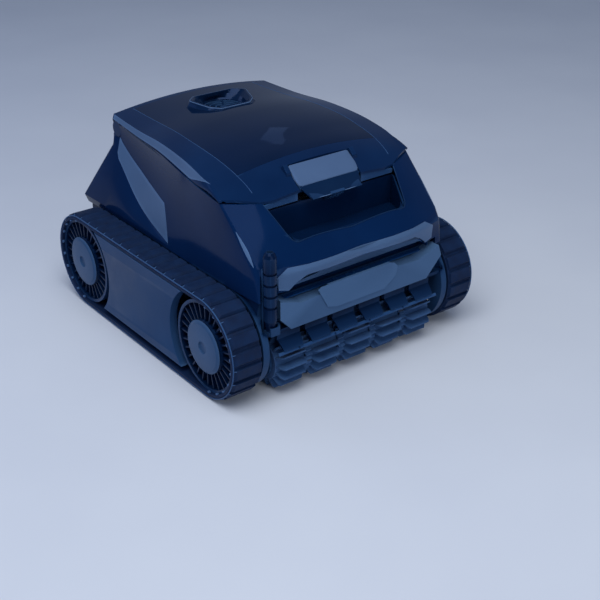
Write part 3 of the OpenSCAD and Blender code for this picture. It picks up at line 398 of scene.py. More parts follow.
@dataclass(frozen=True)
class Woven(Finish):
    """Fine woven filter cloth.

    Attributes:
        pitch: Threads per metre.
    """

    pitch: float = 1100.0

    def material(self) -> bpy.types.Material:
        """Builds two crossed sets of threads.

        Returns:
            The material.
        """
        g = self.graph()
        bands = [
            g.add(
                "TexWave",
                {"wave_type": "BANDS", "bands_direction": direction},
                Scale=self.pitch / 6.0,
                Distortion=0.4,
                Vector=g.place(),
            ).outputs["Fac"]
            for direction in ("Z", "DIAGONAL")
        ]
        crossed = g.add("Math", {"operation": "MAXIMUM"})
        for band, socket in zip(bands, crossed.inputs):
            g.tree.links.new(band, socket)
        weave = crossed.outputs["Value"]
        return g.surface(
            Base_Color=g.ramp(weave, (0.3, self.dark), (0.8, self.light)),
            Normal=g.bump(weave, 0.0002),
            Roughness=0.7,
            Sheen_Weight=0.2,
        )


@dataclass(frozen=True)
class Circuit(Finish):
    """Circuit board with its pads.

    Attributes:
        pad: Display colour of the pads.
    """

    pad: str

    def material(self) -> bpy.types.Material:
        """Builds the pads and the lacquered board between them.

        Returns:
            The material.
        """
        g = self.graph()
        grid = g.add("TexVoronoi", {"distance": "MANHATTAN"}, Scale=220.0, Vector=g.place())
        cells = grid.outputs["Distance"]
        return g.surface(
            Base_Color=g.ramp(cells, (0.08, self.pad), (0.14, self.dark), (0.6, self.light)),
            Roughness=g.span(g.noise(90.0), 0.35, 0.5),
            Normal=g.bump(cells, 0.0003),
            Coat_Weight=0.3,
            Coat_Roughness=0.2,
        )


def gloss(
    name: str,
    dark: str,
    light: str,
    rough: Flat,
    grain: float,
    specular: float,
    coat: float = 0.03,
    worn: str = "1d3a60",
) -> Moulded:
    """Gives a high gloss plastic.

    Args:
        name: Name of the finish.
        dark: Display colour of its darker places.
        light: Display colour of its lighter places.
        rough: Lowest and highest roughness.
        grain: Height of the fine texture in metres.
        specular: Specular level.
        coat: Weight of the clear gloss layer.
        worn: Display colour of rubbed edges.

    Returns:
        The finish.
    """
    return Moulded(name, dark, light, worn, rough, coat, grain, 900.0, specular)


FINISHES: dict[Slot, Finish] = {
    Slot.SHELL: gloss("shell_gloss", "061f44", "08234a", (0.08, 0.14), 0.000004, 0.09),
    Slot.LID: gloss("lid_gloss", "0a2144", "0d274c", (0.05, 0.1), 0.000003, 0.13),
    Slot.TRAY: gloss("tray_gloss_black", "041835", "061d3e", (0.12, 0.2), 0.000004, 0.2),
    Slot.BEZEL: gloss("bezel_gloss", "071a36", "0b2140", (0.12, 0.2), 0.000004, 0.26, 0.08, "34547c"),
    Slot.WINDOW: Smoked("lid_window_smoked", "051936", "081e40", 0.2),
    Slot.CHASSIS: Moulded("chassis_satin", "04132a", "071a35", "1d3a60", (0.38, 0.5)),
    Slot.SIDE_PLATE: Moulded("side_plate_satin", "071c3b", "0a2141", "2f5078", (0.32, 0.42)),
    Slot.BUMPER: Moulded("bumper_satin", "2a4364", "2f486a", "55769d", (0.34, 0.42)),
    Slot.HATCH: Moulded("hatch_satin", "2a4364", "2f486a", "55769d", (0.34, 0.42)),
    Slot.GUARD: Moulded("guard_satin", "1f3b60", "234167", "43628a", (0.36, 0.46)),
    Slot.TRACK: Rubber("track_rubber", "061c3c", "0a2549"),
    Slot.WHEEL: Moulded("wheel_satin", "051a38", "08203f", "2c4c76", (0.3, 0.42)),
    Slot.HUB_CAP: Moulded("hub_cap_satin", "2f4a6c", "355175", "5f7fa8"),
    Slot.BUSH: Moulded("bush_natural", "b6bcc8", "c8ccd6", "d8dce4", (0.35, 0.5), specular=0.4),
    Slot.STEEL: Metal("stainless_steel", "9aa2ae", "c6ccd6"),
    Slot.MOTOR: Metal("motor_can", "7d858f", "a3aab4", (1.0, 1.0, 12.0)),
    Slot.HOUSING: Moulded("housing_satin", "0c2140", "12294a", "34547c", (0.4, 0.52)),
    Slot.SEAL: Rubber("seal_rubber", "0a0c10", "12151b", (0.5, 0.65), 0.00005),
    Slot.BOARD: Circuit("circuit_board", "0d3a22", "1f6b3a", "c8b458"),
    Slot.MESH: Woven("filter_cloth", "6d7480", "c4cad6"),
    Slot.BRUSH: Rubber("brush_rubber", "2b4a74", "33547e", (0.5, 0.65), 0.00006, 0.05),
    Slot.CORE: Moulded("brush_core_satin", "0a1e3c", "102a4c", "34547c", (0.35, 0.5)),
    Slot.GLAND: Moulded("gland_satin", "03122c", "061834", "27466e", (0.2, 0.28), 0.05),
    Slot.LATCH_CAP: Moulded("latch_cap_satin", "485f82", "4e6689", "6f8fb8", (0.3, 0.38)),
    Slot.LATCH: Moulded("latch_gloss", "0a1f3d", "0e2645", "2c4c76", (0.2, 0.28), 0.05),
}

# Light satin that paints highlights and reflections: ribbon facets, band over the grip, front edges, lid
# bevels and the outlet's crest.
PAINTED_HIGHLIGHT = Moulded("satin_inlay", "455e80", "4b6588", "5d7ea9", (0.28, 0.36), specular=0.35)
# Paler satin of thin lines: on the track rims, pad ticks, window edges and recess ledges it paints
# highlights; the track cleats and the hood rail share it.
HIGHLIGHT_AND_PALE_TRIM = Moulded("track_rim_satin", "23416a", "2a4a74", "5273a0")
# Paler than the grip tray's own dark colour: painted light that lifts the shade in the grip recess.
GRIP_PAINTED_LIGHT = Moulded("grip_tray_satin", "0c3568", "0f3b70", "2c5890", (0.25, 0.35), specular=0.3)
TIPS = Moulded("brush_tip_satin", "6d8ab0", "7795ba", "8fabcc", (0.35, 0.45))


@cache
def made(finish: Finish) -> bpy.types.Material:
    """Gives the material of a finish, which is built only once."""
    return finish.material()


# ---------------------------------------------------------------- lines and nets


def bend(start: np.ndarray, corner: np.ndarray, end: np.ndarray, t: float) -> np.ndarray:
    """Gives the point at share t of the rounding from start to end round a corner."""
    return start * (1 - t) ** 2 + corner * 2 * t * (1 - t) + end * t * t


def through(points: Line, steps: Sequence[int], corners: Sequence[int] = ()) -> np.ndarray:
    """Draws a smooth curve through every point, with corners where they are asked for.

    Args:
        points: Points of the curve, in any number of dimensions.
        steps: Samples in each stretch between two points.
        corners: Indices of the points where the curve may turn sharply.

    Returns:
        The samples, with the first and last point among them.
    """
    p = np.array(points, float)
    stops = sorted({0, len(p) - 1, *corners})
    out = [p[0]]
    for start, end in zip(stops, stops[1:]):
        part = p[start : end + 1]
        gaps = np.maximum(np.linalg.norm(np.diff(part, axis=0), axis=1), 1e-9)
        slopes = np.diff(part, axis=0) / gaps[:, None]
        tangents = np.empty_like(part)
        tangents[0], tangents[-1] = slopes[0], slopes[-1]
        for i in range(1, len(part) - 1):
            tangents[i] = (slopes[i - 1] * gaps[i] + slopes[i] * gaps[i - 1]) / (gaps[i - 1] + gaps[i])
        if len(part) > 2:
            tangents[0] = 1.5 * slopes[0] - 0.5 * tangents[1]
            tangents[-1] = 1.5 * slopes[-1] - 0.5 * tangents[-2]
        for i, gap in enumerate(gaps):
            for t in np.arange(1, steps[start + i] + 1) / steps[start + i]:
                a = (1 + 2 * t) * (1 - t) ** 2 * part[i] + t * t * (3 - 2 * t) * part[i + 1]
                b = t * (1 - t) ** 2 * tangents[i] + t * t * (t - 1) * tangents[i + 1]
                out.append(a + b * gap)
    return np.array(out)


def rounded(outline: Sequence[Flat], radii: float | Sequence[float], sides: int = 5) -> list[Flat]:
    """Rounds the corners of a closed outline.

    Args:
        outline: Corners in order.
        radii: One radius for all corners, or one for each.
        sides: Straight pieces in each rounded corner.

    Returns:
        The outline with its corners rounded.
    """
    n = len(outline)
    straight, most = math.radians(178), 0.48
    each = [radii] * n if isinstance(radii, (int, float)) else radii
    out: list[Flat] = []
    for i, radius in enumerate(each):
        before, here, after = (Vector(outline[(i + k) % n]) for k in (-1, 0, 1))
        a, b = before - here, after - here
        turn = a.angle(b)
        if radius <= 0 or turn > straight:
            out.append(tuple(here))
            continue
        reach = min(radius / math.tan(turn / 2), a.length * most, b.length * most)
        start, end = here + a.normalized() * reach, here + b.normalized() * reach
        out += [tuple(bend(start, here, end, k / sides)) for k in range(sides + 1)]
    return out


def arc(middle: Flat, radius: float, start: float, end: float, count: int) -> list[Flat]:
    """Gives points on an arc.

    Args:
        middle: Its middle.
        radius: Its radius.
        start: Angle of the first point, in radians.
        end: Angle of the last one.
        count: How many points.

    Returns:
        The points.
    """
    u, v = middle
    return [(u + radius * math.cos(a), v + radius * math.sin(a)) for a in np.linspace(start, end, count)]


def circle(middle: Flat, radius: float, sides: int) -> list[Flat]:
    """Gives the corners of a circle drawn with straight sides."""
    return arc(middle, radius, 0.0, math.tau, sides + 1)[:-1]


def mirrored(half: Sequence[Flat]) -> list[Flat]:
    """Closes the right half of an outline with its mirror image."""
    return [*half, *[(-u, v) for u, v in half[::-1]]]


def whole(half: Line) -> np.ndarray:
    """Puts the left half in front of the right half of a line that starts in the middle.

    Args:
        half: Points of the right half.

    Returns:
        Points from the left end to the right one.
    """
    right = np.array(half, float)
    left = right[:0:-1].copy()
    left[:, 0] *= -1
    return np.concatenate([left, right])


def grown(outline: Sequence[Flat], across: float, along: float | None = None) -> list[Flat]:
    """Scales an outline about the middle of the outlet."""
    u, v = THROAT
    return [(u + (x - u) * across, v + (y - v) * (along or across)) for x, y in outline]


def read(line: np.ndarray, places: float | np.ndarray, scale: Sequence[float] | None = None) -> np.ndarray:
    """Reads points between the corners of a line.

    Args:
        line: Corners of the line.
        places: Where to read.
        scale: Place of each corner, or nothing to count corners.

    Returns:
        The points.
    """
    ticks = range(len(line)) if scale is None else scale
    return np.stack([np.interp(places, ticks, column) for column in line.T], -1)


def upright(u: float, v: float, h: float) -> Point:
    """Places an outline drawn in X and Y at the height h."""
    return (u, v, h)


def facing_front(u: float, v: float, h: float) -> Point:
    """Places an outline drawn in X and Z at the depth h along Y."""
    return (u, h, v)


def facing_side(u: float, v: float, h: float) -> Point:
    """Places an outline drawn in Y and Z at the width h along X."""
    return (h, u, v)


def net_tree(rows: Net) -> BVHTree:
    """Makes a net of points ready to be hit by rays.

    Args:
        rows: Rows of points, all of the same length.

    Returns:
        The net.
    """
    n = len(rows[0])
    starts = [r * n + i for r in range(len(rows) - 1) for i in range(n - 1)]
    quads = [(s, s + 1, s + n + 1, s + n) for s in starts]
    return BVHTree.FromPolygons([Vector(p) for row in rows for p in row], quads)


# ---------------------------------------------------------------- pieces


class Mould:
    """Corners and faces of one piece, in millimetres, gathered before it is made."""

    def __init__(self) -> None:
        """Starts with nothing."""
        self.corners: list[list[float]] = []
        self.faces: list[tuple[int, ...]] = []

    def take(self, corners: Line, faces: Sequence[Sequence[int]]) -> "Mould":
        """Adds corners with the faces between them.

        Args:
            corners: New corners.
            faces: Faces as indices into the new corners.

        Returns:
            The mould.
        """
        base = len(self.corners)
        self.corners += [[float(value) for value in corner] for corner in corners]
        self.faces += [tuple(base + i for i in face) for face in faces]
        return self

    def loft(self, rings: Net, closed: bool = True, caps: bool = True) -> "Mould":
        """Adds a skin through rings of equal length.

        Args:
            rings: Rings of points, one after the other.
            closed: Whether each ring closes on itself.
            caps: Whether the first and last ring are filled in.

        Returns:
            The mould.
        """
        n, last = len(rings[0]), len(rings) - 1
        faces: list[tuple[int, ...]] = [
            (r * n + i, r * n + (i + 1) % n, (r + 1) * n + (i + 1) % n, (r + 1) * n + i)
            for r in range(last)
            for i in range(n if closed else n - 1)
        ]
        if caps:
            faces += [tuple(reversed(range(n))), tuple(last * n + i for i in range(n))]
        return self.take([p for ring in rings for p in ring], faces)

    def slab(self, outline: Sequence[Flat], low: float, high: float, placing: Placing) -> "Mould":
        """Adds a plate.

        Args:
            outline: Outline of the plate.
            low: Where the plate starts along its thickness.
            high: Where it ends.
            placing: Turns outline coordinates and a height into a point in space.

        Returns:
            The mould.
        """
        return self.loft([[placing(u, v, h) for u, v in outline] for h in (low, high)])

    def turned(self, profile: Sequence[Flat], sides: int, placing: Placing) -> "Mould":
        """Adds a piece turned on a lathe.

        Args:
            profile: Radius and height of each point of the closed profile.
            sides: Straight pieces around.
            placing: Turns two cross coordinates and a height into a point in space.

        Returns:
            The mould.
        """
        rings = [[placing(u, v, h) for u, v in circle((0.0, 0.0), r, sides)] for r, h in profile]
        return self.loft([*rings, rings[0]], caps=False)

    def bar(self, path: Line, radius: float, sides: int = 8, closed: bool = False) -> "Mould":
        """Adds a round bar along a path.

        Args:
            path: Points along the middle of the bar.
            radius: Radius of the bar.
            sides: Straight pieces around it.
            closed: Whether the bar closes on itself.

        Returns:
            The mould.
        """
        spots = [Vector(p) for p in path]
        n = len(spots)
        rings = []
        up = Vector((0.31, 0.17, 0.93))  # a direction that no path follows
        for i, spot in enumerate(spots):
            before = spots[i - 1] if closed or i else spot
            after = spots[(i + 1) % n] if closed or i < n - 1 else spot
            along = (after - before).normalized()
            side = along.cross(up).normalized()
            up = side.cross(along).normalized()
            rings.append([spot + u * side + v * up for u, v in circle((0.0, 0.0), radius, sides)])
        return self.loft([*rings, rings[0]] if closed else rings, caps=not closed)

    def veneer(self, rows: Net, outwards: Point, lift: float = 0.3) -> "Mould":
        """Adds a thin veneer that follows a net of points on a surface, which carries painted highlights and
        reflections.

        Args:
            rows: Net of points on the surface, by row and place in the row.
            outwards: Rough direction away from the surface.
            lift: How far the face of the veneer stands proud.

        Returns:
            The mould.
        """
        depth = 0.5
        grid = np.asarray(rows, float)
        normal = np.cross(np.gradient(grid, axis=0), np.gradient(grid, axis=1))
        normal /= np.maximum(np.linalg.norm(normal, axis=2, keepdims=True), 1e-12)
        normal *= np.sign((normal * np.array(outwards)).sum(axis=2, keepdims=True))
        face, back = grid + normal * lift, grid - normal * depth
        return self.loft([np.concatenate([out, into[::-1]]) for out, into in zip(face, back)])

    def make(self, name: str, bevel: float = 0.0, angle: float = 35.0) -> bpy.types.Object:
        """Makes the piece: welds it, turns its faces outwards and shades it.

        Args:
            name: Name of the piece.
            bevel: Width of the rounding on its sharp edges, or 0 for none.
            angle: Edges that turn more than this, in degrees, are sharp.

        Returns:
            The new object, in the scene.
        """
        data = bpy.data.meshes.new(name)
        data.from_pydata((np.array(self.corners) * MM).tolist(), [], self.faces)
        work = bmesh.new()
        work.from_mesh(data)
        bmesh.ops.remove_doubles(work, verts=work.verts, dist=WELD)
        bmesh.ops.recalc_face_normals(work, faces=work.faces)
        work.to_mesh(data)
        work.free()
        data.shade_smooth()
        data.set_sharp_from_angle(angle=math.radians(angle))
        piece = bpy.data.objects.new(name, data)
        bpy.context.scene.collection.objects.link(piece)
        if bevel > 0:
            soften(piece, bevel, angle)
        return piece


def soften(piece: bpy.types.Object, width: float, angle: float, segments: int = 2) -> None:
    """Rounds the sharp edges of a piece with a modifier.

    Args:
        piece: The piece.
        width: Width of the rounding.
        angle: Edges that turn more than this, in degrees, are rounded.
        segments: Flat strips in each rounding.
    """
    edge = piece.modifiers.new("edge_rounding", "BEVEL")
    edge.width = width * MM
    edge.segments = segments
    edge.limit_method = "ANGLE"
    edge.angle_limit = math.radians(angle)
    edge.harden_normals = True
    edge.miter_outer = "MITER_ARC"


def cut(piece: bpy.types.Object, outline: Sequence[Flat], low: float, high: float, placing: Placing) -> None:
    """Cuts a prism out of a piece for good.

    Args:
        piece: The piece.
        outline: Outline of the prism.
        low: Where the prism starts.
        high: Where it ends.
        placing: Places the outline.
    """
    tool = Mould().slab(outline, low, high, placing).make("cutting_tool")
    step = piece.modifiers.new("cut", "BOOLEAN")
    step.operation = "DIFFERENCE"
    step.solver = "EXACT"
    step.object = tool
    bpy.context.view_layer.update()
    old = piece.data
    cut_piece = piece.evaluated_get(bpy.context.evaluated_depsgraph_get())
    data = bpy.data.meshes.new_from_object(cut_piece)
    piece.modifiers.remove(step)
    piece.data = data
    for mesh in (old, tool.data):
        bpy.data.meshes.remove(mesh)


def refine(piece: bpy.types.Object, angle: float, creases: Sequence[np.ndarray] = ()) -> None:
    """Shades a cut piece again, smooth but for its sharp edges.

    Args:
        piece: The piece.
        angle: Edges that turn more than this, in degrees, are sharp.
        creases: Lines along which the edges are sharp as well.
    """
    weld, sliver = 2e-5, 1e-5  # in metres
    work = bmesh.new()
    work.from_mesh(piece.data)
    bmesh.ops.remove_doubles(work, verts=work.verts, dist=weld)
    bmesh.ops.dissolve_degenerate(work, edges=work.edges, dist=sliver)
    work.to_mesh(piece.data)
    work.free()
    piece.data.shade_smooth()
    piece.data.set_sharp_from_angle(angle=math.radians(angle))
    for line in creases:
        mark_crease(piece.data, line * MM)


def mark_crease(data: bpy.types.Mesh, line: np.ndarray) -> None:
    """Makes the edges that lie along a line sharp.

    Args:
        data: The mesh.
        line: Points along the line, in metres.
    """
    reach, spots_each = 0.0012, 4  # in metres, and for each stretch of the line
    spots = read(line, np.arange(spots_each * (len(line) - 1) + 1) / spots_each)
    tree = KDTree(len(spots))
    for i, spot in enumerate(spots):
        tree.insert(Vector(spot), i)
    tree.balance()
    near = [tree.find(v.co)[2] < reach for v in data.vertices]
    for edge in data.edges:
        a, b = edge.vertices
        if near[a] and near[b] and tree.find((data.vertices[a].co + data.vertices[b].co) / 2)[2] < reach:
            edge.use_edge_sharp = True


def fit(
    piece: bpy.types.Object, body: str, slot: Slot, *stands_for: str, finish: Finish | None = None
) -> None:
    """Gives a piece its finish and its body.

    Args:
        piece: The piece.
        body: CAD body that it rides on.
        slot: Material slot of its finish.
        *stands_for: CAD nodes that it replaces.
        finish: A finish of its own, where it differs from the rest of its slot.
    """
    piece.data.materials.clear()
    piece.data.materials.append(made(finish or FINISHES[slot]))
    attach(piece, body)
    if stands_for:
        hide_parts(*stands_for)
    LOG.info("piece %s rides on %s, finish %s", piece.name, body, slot.value)


def keep(node: str, slot: Slot) -> None:
    """Dresses a CAD node that keeps its shape.

    Args:
        node: Name of the node.
        slot: Material slot of its finish.
    """
    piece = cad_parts[node]
    piece.data.materials.clear()
    piece.data.materials.append(made(FINISHES[slot]))
    LOG.info("node %s keeps its CAD shape, finish %s", node, slot.value)


# ---------------------------------------------------------------- sub-assemblies


@dataclass
class Shell:
    """Glossy body between the deck and the lid: nose, side panels, ribbon facets and rear.

    Attributes:
        rings: Rings of the right half from the lower edge to the rim, each from the middle of the
            nose round the front corner, the side and the rear corner to the middle of the rear.
        level_steps: Strips between one ring and the next.
        column_steps: Strips between the points of a ring.
        wall: Thickness of the moulding.
        front_corner: Reach of the rounding of the front corner at each ring.
        rear_corner: Reach of the rounding of the rear corner.
        bulge: How far the rear quarters swell.
        mouth: X and Z of the upper corners of the grip opening.
    """

    rings: tuple[tuple[Point, ...], ...] = (
        ((0, -232, 146), (110, -232, 146), (161, -223, 146), (166, -110, 147), (166, -9, 147),
         (166, 110, 147), (166, 160, 146), (166, 200, 144), (164, 232, 141), (0, 235, 141)),
        ((0, -235, 182), (108, -235, 182), (161, -218, 178), (165, -110, 165), (166, -8.5, 152),
         (167, 110, 154), (167.5, 160, 154), (168, 200, 153.5), (168, 235, 153), (0, 237, 153)),
        ((0, -232.4, 189), (100, -232.4, 189), (161, -211, 191), (163, -110, 192), (164.5, -8, 153.5),
         (154.6, 88, 183), (147.4, 150, 229.5), (146, 165, 240.5), (145, 173, 246.5), (0, 180, 251)),
        ((0, -214, 209), (98, -215, 209), (161, -192, 211), (161, -102, 226), (151.6, 17, 206),
         (144.4, 82, 226.5), (139.8, 148, 256), (140.2, 164, 270), (141, 173.5, 253.5), (0, 179, 254.5)),
        ((0, -167, 251), (115, -165.4, 254.5), (163, -141, 258), (159.6, -73, 265.3), (152.6, 12, 276.8),
         (146.2, 94, 280.2), (141.4, 155, 281), (140.4, 168, 279.5), (140, 172.5, 256.5), (0, 177, 256.5)),
    )
    level_steps: tuple[int, ...] = (3, 3, 6, 12)
    column_steps: tuple[int, ...] = (8, 8, 10, 12, 12, 8, 3, 2, 14)
    wall: float = 4.0
    front_corner: tuple[float, ...] = (6.0, 7.0, 9.0, 10.0, 5.0)
    rear_corner: float = 6.0
    bulge: float = 3.0
    mouth: tuple[Flat, ...] = ((94, 174), (110, 165.5), (120, 156.5))

    def __post_init__(self) -> None:
        """Works out where the rings and their points lie among the strips, and the outer skin."""
        self.levels = [0, *np.cumsum(self.level_steps).tolist()]
        self.marks = [0, *np.cumsum(self.column_steps).tolist()]
        self.net = self.skin(0.0)

    def side_panel(self, table: np.ndarray) -> Callable[[np.ndarray, np.ndarray], np.ndarray]:
        """Fits one smooth panel through the front of the side and the strip under the lid.

        Args:
            table: The rings as an array.

        Returns:
            The panel's X for given Y and Z.
        """
        picks = [(level, column) for level in range(5) for column in (2, 3, 4)]
        picks += [(level, column) for level in (3, 4) for column in (5, 6)]
        points = np.array([table[pick] for pick in picks])

        def terms(y: np.ndarray, z: np.ndarray) -> np.ndarray:
            """Powers of Y and Z that the panel is made of."""
            v, w = y / 150.0, (z - 210.0) / 70.0
            return np.stack([v**0, v, w, v * v, v * w, w * w, v**3, v * v * w, v * w * w, w**3], -1)

        factors, *_ = np.linalg.lstsq(terms(points[:, 1], points[:, 2]), points[:, 0], rcond=None)
        return lambda y, z: terms(y, z) @ factors

    def skin(self, inset: float) -> np.ndarray:
        """Gives the net of points of the whole skin, a closed ring for each level.

        Args:
            inset: How far the skin is moved inwards.

        Returns:
            Points by level and place round the body.
        """
        table = np.array(self.rings, float)
        panel = self.side_panel(table)
        creased = {0: (1, 2), 1: (1, 2), 2: (1, 2), 3: ()}
        columns = [
            through(table[:, c], self.level_steps, creased.get(c, (1, 2, 3))) for c in range(table.shape[1])
        ]
        marks, (_, low, high, ledge, top) = self.marks, self.levels
        reach = np.interp(range(top + 1), self.levels, self.front_corner)
        wall_x = np.interp(range(marks[-1] + 1), marks, [0, 0, 1, 1, 1, 1, 1, 1, 1, 0])
        wall_y = np.interp(range(marks[-1] + 1), marks, [1, 1, 1, 0, 0, 0, 0, 0, -1, -1])
        swell = self.bulge * 4 * np.sin(np.linspace(0, math.pi, marks[8] - marks[4] + 1))
        out = []
        for level, row in enumerate(np.array(columns).transpose(1, 0, 2)):
            line = through(row, self.column_steps, (2, 4, 8))
            side = slice(marks[2], marks[7 if level >= ledge else 4] + 1)
            line[side, 0] = panel(line[side, 1], line[side, 2])
            if low < level < high:
                t = (level - low) / (high - low)
                line[marks[4] : marks[8] + 1, 0] += swell * t * (1 - t)
            line[:, 0] -= inset * wall_x
            line[:, 1] += inset * wall_y
            line = self.round_corner(line, marks[2], reach[level])
            line = self.round_corner(line, marks[8], self.rear_corner)
            out.append(np.concatenate([line, line[-2:0:-1] * (-1, 1, 1)]))
        return np.array(out)

    def round_corner(self, line: np.ndarray, at: int, reach: float) -> np.ndarray:
        """Bends the points near a corner on to a rounding.

        Args:
            line: Points along one level.
            at: Index of the corner.
            reach: How far the rounding goes on each side.

        Returns:
            The line with the same number of points.
        """
        run = np.concatenate([[0.0], np.cumsum(np.linalg.norm(np.diff(line, axis=0), axis=1))])
        first, last, spot = at - 3, at + 3, run[at]
        start, end = read(line, spot - reach, run), read(line, spot + reach, run)
        out = line.copy()
        if run[first - 1] > spot - reach - 0.5:
            out[first - 1] = read(line, spot - reach - 2.0, run)
        if run[last + 1] < spot + reach + 0.5:
            out[last + 1] = read(line, spot + reach + 2.0, run)
        for i in range(first, last + 1):
            out[i] = bend(start, line[at], end, (i - first) / (last - first))
        return out

    def opening(self, *foot: Flat) -> list[Flat]:
        """Gives the outline of the grip opening down to the given lower corners."""
        return rounded(mirrored([*self.mouth, *foot]), [5, 5, 2, 2, 0, 0, 2, 2, 5, 5], 4)

    def build(self) -> None:
        """Makes and dresses the body with its recess, grip, gland channel and hinge cheeks cut out."""
        inner = self.skin(self.wall)
        body = Mould().loft([*self.net, *inner[::-1], self.net[0]], caps=False).make("body_shell", angle=22)
        recess = [(-115, -161), (115, -161), (98, -214), (-98, -214)]
        cut(body, rounded(recess, [0, 0, 14, 14], 8), 195, 330, upright)
        cut(body, self.opening((146, 157), (146, 138)), -252, -206, facing_front)
        cut(body, circle((-148, -228), 12.8, 40), 100, 221, upright)
        for low in (-150, 130):
            cut(body, circle(HINGE, 12.5, 48), low, low + 20, facing_side)
        refine(body, 22, self.creases())
        soften(body, 0.9, 24, 3)
        fit(body, "root", Slot.SHELL, "shell_front", "shell_left", "shell_right")
        self.bead()
        self.grip()
        self.ledge()
        self.tabs()
        self.ribbons()
        self.panel_over_grip()
        self.edge_lights()

    def creases(self) -> list[np.ndarray]:
        """Gives the lines that stay crisp: both edges of the ribbons and the crease over the grip.

        Returns:
            The lines on both sides.
        """
        net, marks, (_, _, low, high, _) = self.net, self.marks, self.levels
        lines = [
            net[low, : marks[2] + 1],
            net[low, marks[4] : marks[8] + 1],
            net[high, marks[4] : marks[7] + 1],
            net[low : high + 1, marks[4]],
        ]
        return lines + [line * (-1, 1, 1) for line in lines]

    def ribbons(self) -> None:
        """Lays a light satin veneer into the ribbon facet between the two side creases, a painted reflection
        of the light that the facet catches.
        """
        _, _, low, high, _ = self.levels
        patch = self.net[low : high + 1, self.marks[4] : self.marks[7] + 1]
        reach = high - low
        slant, slant_length, end = 150.0, 22.0, 166.5  # its rear end, along Y
        rows = []
        for k in range(patch.shape[1]):
            y = patch[reach // 2, k, 1]
            if y <= end:
                start = np.clip((y - slant) / slant_length, 0, 0.96) + 0.02
                rows.append(read(patch[:, k], np.linspace(start * reach, 0.98 * reach, 7)))
        for name, side in SIDES:
            ribbon = Mould().veneer(np.array(rows) * (side, 1, 1), (side, 0, 0.2))
            # the veneer's light finish paints the reflection on the ribbon facet
            fit(ribbon.make(f"ribbon_painted_reflection_{name}", angle=40), "root", Slot.SHELL, finish=PAINTED_HIGHLIGHT)

    def edge_lights(self) -> None:
        """Lays a slim light veneer, pointed at both ends, on each front edge of the body: a painted highlight
        on the rounded edge.
        """
        middle = self.marks[2]
        rows = []
        lowest, rise, widest = 6.2, 10.6, 1.15  # in strips of the skin
        for t in np.linspace(0.02, 0.98, 17):
            level = lowest + rise * t
            line = self.net[int(level)] * (1 - level % 1) + self.net[int(level) + 1] * (level % 1)
            half = widest * math.sin(math.pi * t) ** 0.8
            rows.append(read(line, np.linspace(middle - half, middle + half, 5)))
        for name, side in SIDES:
            strip = Mould().veneer(np.array(rows) * (side, 1, 1), (side, -1, 0))
            # light finish paints the highlight on the rounded front edge
            fit(strip.make(f"edge_light_{name}", angle=60), "root", Slot.SHELL, finish=PAINTED_HIGHLIGHT)

    def panel_over_grip(self) -> None:
        """Lays the light satin band over the grip, with a leg down each end of it: a painted reflection on
        the front of the body.
        """
        tree = net_tree([whole(row[: self.marks[2] + 1]) for row in self.net[: self.levels[2] + 1]])
        upper = [(0, 188), (60, 188), (120, 188), (137.5, 178), (134.5, 160.3)]
        lower = [(0, 175), (50, 175), (94.5, 175), (110.4, 166.3), (120.4, 157.5)]
        top, foot = (through(whole(half), [6] * 8, range(1, 8)) for half in (upper, lower))
        rows = []
        for share in np.linspace(0, 1, 7):
            row = []
            for x, z in foot * (1 - share) + top * share:
                hit = tree.ray_cast(Vector((x, -400, z)), Vector((0, 1, 0)))[0]
                row.append((x, hit.y if hit else -233.0, z))
            rows.append(row)
        panel = Mould().veneer(rows, (0, -1, 0), 0.7)
        # light finish paints the reflection on the band over the grip
        fit(panel.make("panel_over_grip", angle=40), "root", Slot.SHELL, finish=PAINTED_HIGHLIGHT)

    def bead(self) -> None:
        """Lays the thin bright bead along the edge of the recess under the latch."""
        tree = net_tree([row[: self.marks[2] + 1] for row in self.net[self.levels[2] :]])
        hole = rounded([(-115, -161), (-98, -214), (98, -214), (115, -161)], [0, 14, 14, 0], 8)
        path = []
        for (x0, y0), (x1, y1) in zip(hole, hole[1:]):
            count = max(1, int(math.hypot(x1 - x0, y1 - y0) / 6))
            for t in np.arange(count) / count:
                x, y = x0 + (x1 - x0) * t, y0 + (y1 - y0) * t
                hit = tree.ray_cast(Vector((abs(x), y, 400)), Vector((0, 0, -1)))[0]
                if hit is not None:
                    path.append((x, y, hit.z + 0.1))
        fit(Mould().bar(path, 0.7).make("recess_edge_bead", angle=60), "root", Slot.SIDE_PLATE)

    def grip(self) -> None:
        """Makes the tray that the hand grips in, below the band of painted reflection; its finish is paler
        than the tray's own dark colour, painted light in the shaded recess.
        """
        outer = self.opening((134, 156.8), (134, 141))
        inner = [(x * 0.988, 157.5 + (z - 157.5) * 0.9) for x, z in outer]

        def front(x: float) -> float:
            """Y of the tray's front edge, which falls back at the ends."""
            return -228.5 + max(0.0, abs(x) - 112) * 0.3

        rings = [[(x, -199.0, z) for x, z in inner]]
        rings += [[(x, front(x), z) for x, z in outline] for outline in (inner, outer)]
        rings.append([(x, -197.2, z) for x, z in outer])
        # paler finish paints light into the shaded grip recess
        fit(Mould().loft(rings).make("grip_liner"), "root", Slot.TRAY, "grip_tray", finish=GRIP_PAINTED_LIGHT)

    def ledge(self) -> None:
        """Closes the back of the recess below the lid's front edge, on both sides of the latch; its paler
        finish paints the highlight along the lid's front seam.
        """
        for name, side in SIDES:
            rings = []
            for x in np.linspace(55, 113, 9):
                top = 257.6 - 15 * (x / 160) ** 2
                outline = ((-165.6, 244), (-165.6, top - 0.8), (-164.8, top), (-162.4, top), (-162.4, 244))
                rings.append([(side * x, y, z) for y, z in outline])
            # paler finish paints the highlight along the lid's front seam
            fit(Mould().loft(rings).make(f"recess_ledge_{name}", 0.3), "root", Slot.TRAY, finish=HIGHLIGHT_AND_PALE_TRIM)

